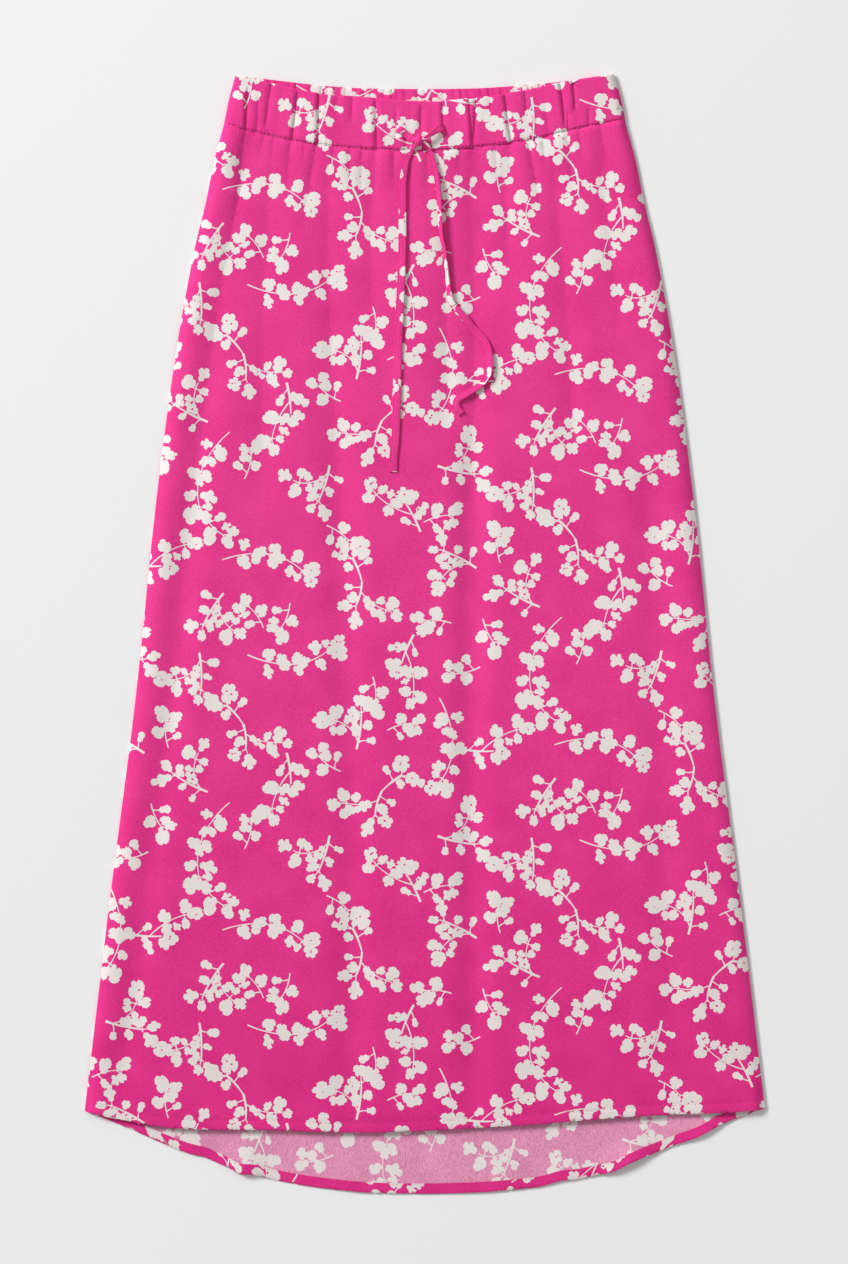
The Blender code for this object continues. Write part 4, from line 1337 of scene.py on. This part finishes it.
outerHem = hemRows([k / 5 for k in range(6)], (0.3, 0.7, 0.92), (0.3, 0.75, 0.88, 1.0, 1.15))
innerHem = hemRows((0, 0.35, 0.65, 1), (0.5, 0.95), (1,))


def panelPoints(top, hem, seamRows):
    low, high = (-halfWidth(1.0), float(top(0.9))), (halfWidth(1.0), float(hem(0.0)) + 0.004)
    stepX, stepY, coarser = spacing["across"], spacing["along"], spacing["coarser"]
    points = staggered(low, (high[0], spacing["coarseFrom"]), stepX, stepY)
    points += staggered((low[0], spacing["coarseFrom"]), high, coarser * stepX, coarser * stepY)
    points += alongEdge(top, seamRows, spacing["seam"])
    points += alongEdge(hem, outerHem, spacing["hem"], float(halfWidth(1.0)))
    points += besideSides(float(top(1.0)), float(hem(1.0)), sideOffsets, 0.008)
    return points


def liningPoints(top, hem, across, along):
    low, high = (-halfWidth(1.0), float(top(0.9))), (halfWidth(1.0), float(hem(0.0)))
    points = staggered(low, high, across, along)
    points += alongEdge(top, spacing["lining"], 0.0035)
    points += alongEdge(hem, innerHem, spacing["hem"] * 1.5, float(halfWidth(1.0)))
    points += besideSides(float(top(1.0)), float(hem(1.0)), spacing["liningSides"], 0.014)
    return points


def alongCreases():
    # points beside the sharp parts of folds and creases of the front
    points = []
    for fold in folds:
        for drop in np.arange(max(fold.start, 0.06), min(fold.end, lay["softFrom"] + 0.2), 0.008):
            across = foldLine(fold, (drop - fold.start) / (fold.end - fold.start))
            points += [(across * halfWidth(drop) + offset, drop) for offset in (-0.0015, 0.0, 0.0012)]
    for crease in waistCreases:
        for share in np.arange(0.03, 0.9, 0.005 / crease.length):
            across = mix(crease.seam, crease.foot, share)
            drop = float(frontSeam(across)) + share * crease.length
            x = across * halfWidth(drop)
            points += [(x + offset, drop) for offset in (-0.0022, -0.0008, 0.0, 0.0010, 0.0030)]
    return points


def panelBorders(top, hem, seamRows):
    outer = edgeLines(top, hem, seamRows, outerHem, sideOffsets, 0.006, 0.009)
    return outer, edgeLines(top, hem, spacing["lining"], innerHem, spacing["liningSides"], 0.010, 0.015)


def panelSpot(hem, height, way):
    # past the hem's line the cloth turns over its fold and runs back on the inner side
    def spot(flat):
        x, run = flat[:, 0], flat[:, 1]
        across = np.clip(x / halfWidth(run), -1, 1)
        edge = hem(across)
        least, reach = lay["hemFoldSide"]
        whole = ease(fromSide(across, np.minimum(run, edge)), 0.0, reach)
        fold = lay["hemFold"] * (least + (1 - least) * whole)
        over = run - (edge - fold)
        turn = np.clip(over / fold, 0, math.pi)
        turned = edge - fold + fold * np.sin(turn) - np.maximum(over - math.pi * fold, 0)
        drop = np.where(over <= 0, run, turned)
        z = height(across, drop) + way * fold * (1 - np.cos(turn))
        return np.stack([across * halfWidth(drop), topY - drop, z], 1)

    return spot


def bandOutline(top, seam, inner, tuck):
    # a casing flat: from its seam up the outside, over the fold, and down the inside
    radius = cut["casingWall"] / 2
    beyond = (math.pi - 1) * radius + inner
    across = np.linspace(-1, 1, 301)
    lower = [(a * halfWidth(seam(a)), seam(a) + tuck) for a in across[::-1]]
    upper = [(a * halfWidth(top(a)), top(a) - beyond) for a in across]
    shares = np.linspace(0, 1, 41)[1:-1]
    drops = mix(top(1.0) - beyond, seam(1.0) + tuck, shares)
    right = [(float(halfWidth(np.maximum(d, top(1.0)))), d) for d in drops]
    drops = mix(seam(-1.0) + tuck, top(-1.0) - beyond, shares)
    left = [(-float(halfWidth(np.maximum(d, top(-1.0)))), d) for d in drops]
    return upper + right + lower + left


def bandPoints(top, seam, inner, lines, seamRows):
    radius, stepY = cut["casingWall"] / 2, spacing["bandAlong"]
    points = []
    columns = np.linspace(-0.997, 0.997, int(2 * halfWidth(0.03) / spacing["bandAcross"]))
    for k, across in enumerate(columns):
        edge = top(across)
        x, reach = across * halfWidth(edge), float(seam(across) - edge)
        for row in np.arange(radius, reach, stepY) + (stepY / 2 if k % 2 else 0):
            points.append((across * halfWidth(edge + row), edge + row))
        points += [(x, edge + radius - share * math.pi * radius) for share in spacing["folded"]]
        if k % 2 == 0:
            points += [(x, edge - (math.pi - 1) * radius - row) for row in np.arange(0.0025, inner, 0.005)]
    for line in lines:
        for share in np.linspace(0.01, 0.99, 22):
            across = mix(line.top, line.seam, share)
            drop = mix(top(across), seam(across), share)
            for offset in (-0.0034, -0.0022, -0.0012, -0.0005, -0.0001, 0.0002, 0.0005, 0.0012):
                points.append((across * halfWidth(drop) + math.copysign(1, line.step) * offset, drop))
    points += alongEdge(seam, seamRows, spacing["seam"])
    points += besideSides(float(top(1.0)) + radius, float(seam(1.0)), spacing["bandSides"], 0.003)
    return points


def bandSpot(top, outside, inside, radius=cut["casingWall"] / 2, inset=0.0):
    # a casing turns over at its top edge and runs down again inside
    def spot(flat):
        x, run = flat[:, 0], flat[:, 1]
        across = np.clip(x / halfWidth(run), -1, 1)
        for _ in range(3):
            across = np.clip(x / halfWidth(np.maximum(run, top(across))), -1, 1)
        edge = top(across) + radius + inset
        over = edge - run
        turn = np.clip(over / radius, 0, math.pi)
        turned = edge - radius * np.sin(turn) + np.maximum(over - math.pi * radius, 0)
        drop = np.where(over <= 0, run, turned)
        low, high = outside(across, drop), inside(across, drop)
        z = mix(low, high, (1 - np.cos(turn)) / 2)
        return np.stack([across * halfWidth(drop), topY - drop, z], 1)

    return spot


def makeFrontPanel(bothSides):
    seamRows = (-0.0004, 0.0, 0.0004, 0.0009, 0.0015, 0.0023, 0.0034, 0.0050, 0.0075)
    spot, creases = panelSpot(frontHem, frontHeight, -1), alongCreases()

    def slack(flat):
        # none by the edges
        across = np.clip(flat[:, 0] / halfWidth(flat[:, 1]), -1, 1)
        side, below = fromSide(across, flat[:, 1]), flat[:, 1] - frontSeam(across)
        toHem = frontHem(across) - flat[:, 1]
        return 0.0008 * ease(side, 0.002, 0.010) * ease(below, 0.0, 0.003) * ease(toHem, 0.012, 0.030)

    return makeCloth(
        "frontPanel", panelOutline(frontSeam, frontHem, panelTuck),
        panelPoints(frontSeam, frontHem, seamRows) + creases,
        liningPoints(frontSeam, frontHem, 0.0075, 0.015) + creases,
        panelBorders(frontSeam, frontHem, seamRows),
        spot, belowBy(spot, True, slack), printShifts["front"], bothSides, True,
    )


def makeBackPanel(bothSides):
    fine = float(frontHem(1.0)) - 0.03  # only its lower end shows, inside the hem's opening
    spot, seamRows = panelSpot(backHem, backHeight, 1), (0.0005, 0.0030)
    return makeCloth(
        "backPanel", panelOutline(backSeam, backHem, panelTuck), panelPoints(backSeam, backHem, seamRows),
        liningPoints(backSeam, backHem, 0.0050, 0.010), panelBorders(backSeam, backHem, seamRows),
        spot, belowBy(spot, False), printShifts["back"], bothSides, False, (fine, fine),
    )


def bandBorders(top, seam, seamRows):
    radius = cut["casingWall"] / 2
    folded = [radius - share * math.pi * radius for share in spacing["folded"]]
    outer = edgeLines(top, seam, folded, seamRows, (*spacing["bandSides"][:-1], 0.0040), 0.0013, 0.0030)
    return outer, edgeLines(top, seam, (), (-0.0015,), (0.0012, 0.0030), 0.0050, 0.0060)


def insideCasing(top, rest, height):
    # the inner side of a casing's cloth lies inside the casing, clear of every crease
    def level(across, drop):
        return mix(lay["bandSide"], rest(across, drop) + height, sideFall(across, drop))

    return bandSpot(top, level, lambda across, drop: level(across, drop) + 0.00006, 0.0002, 0.0014)


def bandLining(top, seam, inner):
    points = []
    for across in np.linspace(-0.985, 0.985, 90):
        for share in np.linspace(0.06, 0.94, 9):
            run = mix(top(across) - inner, seam(across), share)
            points.append((across * halfWidth(max(run, top(across))), run))
    return points


def makeBand(name, top, seam, tuck, seamRows, points, spot, lowered, shift, bothSides, flip, fine):
    inner = spacing["bandInner"]
    return makeCloth(
        name, bandOutline(top, seam, inner, tuck), points, bandLining(top, seam, inner),
        bandBorders(top, seam, seamRows), spot, lowered, shift, bothSides, flip, fine,
    )


def makeFrontBand(bothSides):
    seamRows = (0.0004, 0.0, -0.0004, -0.0009, -0.0015, -0.0023, -0.0034, -0.0050)
    return makeBand(
        "frontWaistband", frontBandTop, frontSeam, 0.0008, seamRows,
        bandPoints(frontBandTop, frontSeam, spacing["bandInner"], frontGathers, seamRows),
        bandSpot(frontBandTop, frontBandHeight, frontBandInside),
        insideCasing(frontBandTop, bandRest, 0.00038), printShifts["front"], bothSides, True, (0, 9),
    )


def alongGathers():
    # points beside the lines between the back casing's gathers, from its top fold down its inner side
    places = np.linspace(-0.99, 0.99, 6001)
    whole = np.floor(gatherPhase(places))
    radius = cut["casingWall"] / 2
    runs = [radius - share * math.pi * radius for share in spacing["folded"][1:]]
    runs += [(1 - math.pi) * radius - row for row in (0.0010, 0.0034, 0.0060, 0.0086, 0.0120)]
    points = []
    for across in places[1:][whole[1:] > whole[:-1]]:
        edge = float(backBandTop(across))
        x = across * float(halfWidth(edge))
        offsets = (-0.0014, -0.0006, -0.0002, 0.0002, 0.0008)
        points += [(x + offset, edge + run) for run in runs for offset in offsets]
    return points


def makeBackBand(bothSides):
    seamRows = (0.0, -0.0010)
    return makeBand(
        "backWaistband", backBandTop, backSeam, 0.0003, seamRows,
        bandPoints(backBandTop, backSeam, spacing["bandInner"], (), seamRows) + alongGathers(),
        bandSpot(backBandTop, backBandHeight, backBandInside),
        insideCasing(backBandTop, lambda across, drop: 0.0, 0.0014), printShifts["backBand"], bothSides,
        False, (-1, 9),
    )


# stitching

stitch = {
    "pitch": 0.0035,  # from one stitch of a hem to the next
    "length": 0.0027,
    "radius": 0.00017,
    "sunk": 0.00006,  # how far the thread sits in the cloth
    "uneven": (0.86, 1.08),  # the stitches' least and greatest scale
    "seed": 7,
    "below": 0.0006,  # how far below a turn-up's edge the row lies
    "satinPitch": 0.00042,  # of the stitches round a buttonhole
    "satinLength": 0.0011,
    "buttonhole": 0.0122,
    "slit": 0.00062,  # from a buttonhole's middle to each of its two rows
}


def makeStitchTree():
    # evenly spaced threads along a line, each a slim bead turned the line's way, or over it where Over is 1
    tree = bpy.data.node_groups.new("stitchRow", "GeometryNodeTree")
    kinds = {"Line": "Geometry", "Pitch": "Float", "Length": "Float", "Radius": "Float", "Over": "Float"}
    for name, kind in {**kinds, "Finish": "Material"}.items():
        tree.interface.new_socket(name, in_out="INPUT", socket_type="NodeSocket" + kind)
    tree.interface.new_socket("Stitches", in_out="OUTPUT", socket_type="NodeSocketGeometry")
    given, result = addNode(tree, "NodeGroupInput"), addNode(tree, "NodeGroupOutput")
    curve = addNode(tree, "GeometryNodeMeshToCurve")
    even = addNode(tree, "GeometryNodeResampleCurve", [("mode", "LENGTH")])
    bead = addNode(tree, "GeometryNodeMeshUVSphere", Segments=6, Rings=5, Radius=1.0)
    size, around = (addNode(tree, "ShaderNodeCombineXYZ") for _ in range(2))
    half, angle = (addNode(tree, "ShaderNodeMath", [("operation", "MULTIPLY")]) for _ in range(2))
    half.inputs[1].default_value, angle.inputs[1].default_value = 0.5, math.pi / 2
    shape = addNode(tree, "GeometryNodeTransform")
    tangent = addNode(tree, "GeometryNodeInputTangent")
    turn = addNode(tree, "FunctionNodeAlignRotationToVector", [("axis", "X")])
    quarter = addNode(tree, "FunctionNodeRotateRotation", [("rotation_space", "LOCAL")])
    uneven = addNode(tree, "FunctionNodeRandomValue", [("data_type", "FLOAT")], Seed=stitch["seed"])
    limits = [socket for socket in uneven.inputs if socket.type == "VALUE"]
    limits[0].default_value, limits[1].default_value = stitch["uneven"]
    place = addNode(tree, "GeometryNodeInstanceOnPoints")
    real = addNode(tree, "GeometryNodeRealizeInstances")
    paint = addNode(tree, "GeometryNodeSetMaterial")
    join(
        tree, (given, "Line", curve, "Mesh"), (curve, "Curve", even, "Curve"),
        (given, "Pitch", even, "Length"), (given, "Length", half, 0),
        (half, "Value", size, "X"), (given, "Radius", size, "Y"),
        (given, "Radius", size, "Z"), (bead, "Mesh", shape, "Geometry"), (size, "Vector", shape, "Scale"),
        (tangent, "Tangent", turn, "Vector"), (turn, "Rotation", quarter, "Rotation"),
        (given, "Over", angle, 0), (angle, "Value", around, "Z"), (around, "Vector", quarter, "Rotate By"),
        (even, "Curve", place, "Points"), (shape, "Geometry", place, "Instance"),
        (quarter, "Rotation", place, "Rotation"), (place, "Instances", real, "Geometry"),
        (real, "Geometry", paint, "Geometry"), (given, "Finish", paint, "Material"),
        (paint, "Geometry", result, "Stitches"),
    )
    scales = [socket for socket in uneven.outputs if socket.type == "VALUE"]
    tree.links.new(scales[0], place.inputs["Scale"])
    return tree


def upOrDown(piece, face):
    # a function that gives where a vertical line first meets a piece, from above or from below
    bm = bmesh.new()
    bm.from_mesh(piece.data)
    faces = BVHTree.FromBMesh(bm)
    bm.free()

    def meet(x, y):
        spot = faces.ray_cast(Vector((x, y, 0.1 * face)), Vector((0, 0, -face)))[0]
        return None if spot is None else spot + Vector((0, 0, -face * stitch["sunk"]))

    return meet


def makeStitches(name, tree, lines, finish, pitch, length, radius, over=0.0):
    # lines of places in the open, each stitched from end to end
    mesh = bpy.data.meshes.new(name + "Lines")
    places = [place for line in lines for place in line]
    starts = np.cumsum([0] + [len(line) for line in lines[:-1]])
    pairs = [(int(s) + k, int(s) + k + 1) for s, line in zip(starts, lines) for k in range(len(line) - 1)]
    mesh.from_pydata(places, pairs, [])
    source = asPiece(name + "Lines", mesh)
    rows = source.modifiers.new("rows", "NODES")
    rows.node_group = tree
    values = {"Pitch": pitch, "Length": length, "Radius": radius, "Over": over, "Finish": finish}
    for socket in tree.interface.items_tree:
        if socket.in_out == "INPUT" and socket.name in values:
            rows[socket.identifier] = values[socket.name]
    made = bpy.data.meshes.new_from_object(source.evaluated_get(bpy.context.evaluated_depsgraph_get()))
    source.modifiers.remove(rows)
    bpy.data.objects.remove(source)
    made.name = name
    made.polygons.foreach_set("use_smooth", np.ones(len(made.polygons), dtype=bool))
    return asPiece(name, made)


def hemLine(hem, meet):
    # along the inner edge of a turned hem
    line = []
    for across in np.linspace(-0.985, 0.985, 420):
        drop = float(hem(across)) - cut["hemDepth"] + stitch["below"]
        spot = meet(float(across * halfWidth(drop)), topY - drop)
        if spot is not None:
            line.append(spot)
    return line


def buttonholeLines(meet):
    # two rows of satin stitches beside each buttonhole's slit
    rows = []
    for x in tie["buttonholes"].values():
        for side in (-1, 1):
            ys = topY - tie["linkDrop"] + np.linspace(-0.5, 0.5, 14) * stitch["buttonhole"]
            spots = [meet(x + side * stitch["slit"], float(y)) for y in ys]
            rows.append([spot for spot in spots if spot is not None])
    return rows


# stage and light

studio = {
    "floor": (0.835, 0.836, 0.834),
    "world": 0.455,  # strength of the even light
    "key": 2440.0,  # watts
    "keyPlace": (-11.0, 7.6, 7.5),
    "keySize": 4.6,
    "fill": 12.0,
    "fillPlace": (-0.6, 3.6, 2.6),
    "fillSize": 2.0,
}


def makeStudio():
    bpy.ops.mesh.primitive_plane_add(size=8, location=(0, 0, -0.0003))
    floor = bpy.context.object
    floor.name = "floor"
    material = bpy.data.materials.new("paleFloor")
    material.use_nodes = True
    shader = material.node_tree.nodes["Principled BSDF"]
    shader.inputs["Base Color"].default_value = (*studio["floor"], 1)
    shader.inputs["Roughness"].default_value = 0.95
    shader.inputs["Specular IOR Level"].default_value = 0.1
    floor.data.materials.append(material)
    world = bpy.data.worlds.new("studio")
    world.use_nodes = True
    world.node_tree.nodes["Background"].inputs["Color"].default_value = (1, 1, 1, 1)
    world.node_tree.nodes["Background"].inputs["Strength"].default_value = studio["world"]
    bpy.context.scene.world = world
    for name in ("key", "fill"):
        data = bpy.data.lights.new(name, "AREA")
        data.shape = "DISK"
        data.size = studio[name + "Size"]
        data.energy = studio[name]
        light = bpy.data.objects.new(name, data)
        light.location = studio[name + "Place"]
        light.rotation_euler = (-Vector(light.location)).to_track_quat("-Z", "Y").to_euler()
        bpy.context.scene.collection.objects.link(light)
    bpy.context.scene.view_settings.view_transform = "Standard"


# build

makeCamera()
rightSide, wrongSide, threads = makeFinishes()
knot = makeKnot(rightSide[0])
ties = []
for side, rows in (("left", leftTie), ("right", rightTie)):
    piece, centres, length = makeTie("tie" + side.capitalize(), rows, printShifts[side + "Tie"], rightSide)
    ties.append((side, piece, centres, length))
    print("tie %s: %.3f m" % (side, length))
makeStudio()
print("camera, ties and studio made")

stitchTree = makeStitchTree()
backPanel = makeBackPanel(rightSide + wrongSide)
backBand = makeBackBand(rightSide + wrongSide)
frontPanel = makeFrontPanel(rightSide + wrongSide)
frontBand = makeFrontBand(rightSide + wrongSide)

hemRow = (threads[0], stitch["pitch"], stitch["length"], stitch["radius"])
satinRow = (threads[1], stitch["satinPitch"], stitch["satinLength"], stitch["radius"], 1.0)
frontHemLine = hemLine(frontHem, upOrDown(frontPanel, 1))
backHemLines = [hemLine(backHem, upOrDown(backPanel, face)) for face in (1, -1)]
slits = buttonholeLines(upOrDown(frontBand, 1))
frontStitches = makeStitches("frontHemStitches", stitchTree, [frontHemLine], *hemRow)
backStitches = makeStitches("backHemStitches", stitchTree, backHemLines, *hemRow)
buttonholes = makeStitches("buttonholes", stitchTree, slits, *satinRow)
print("stitching made")


def handOver(piece, finish, *nodes):
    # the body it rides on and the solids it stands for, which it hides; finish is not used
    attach(piece, "root")
    if nodes:
        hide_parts(*nodes)


handOver(frontStitches, "hem_crepe")
handOver(backStitches, "hem_crepe")
handOver(buttonholes, "printed_crepe")
for side, piece, centres, length in ties:
    handOver(piece, "tie_crepe", "tie_link_" + side, "tie_tail_" + side)
handOver(knot, "tie_crepe", "tie_knot")
handOver(backPanel, "printed_crepe", "back_panel", "back_hem")
handOver(frontPanel, "printed_crepe", "front_panel", "front_hem")
handOver(backBand, "printed_crepe", "back_waistband")
handOver(frontBand, "printed_crepe", "front_waistband")
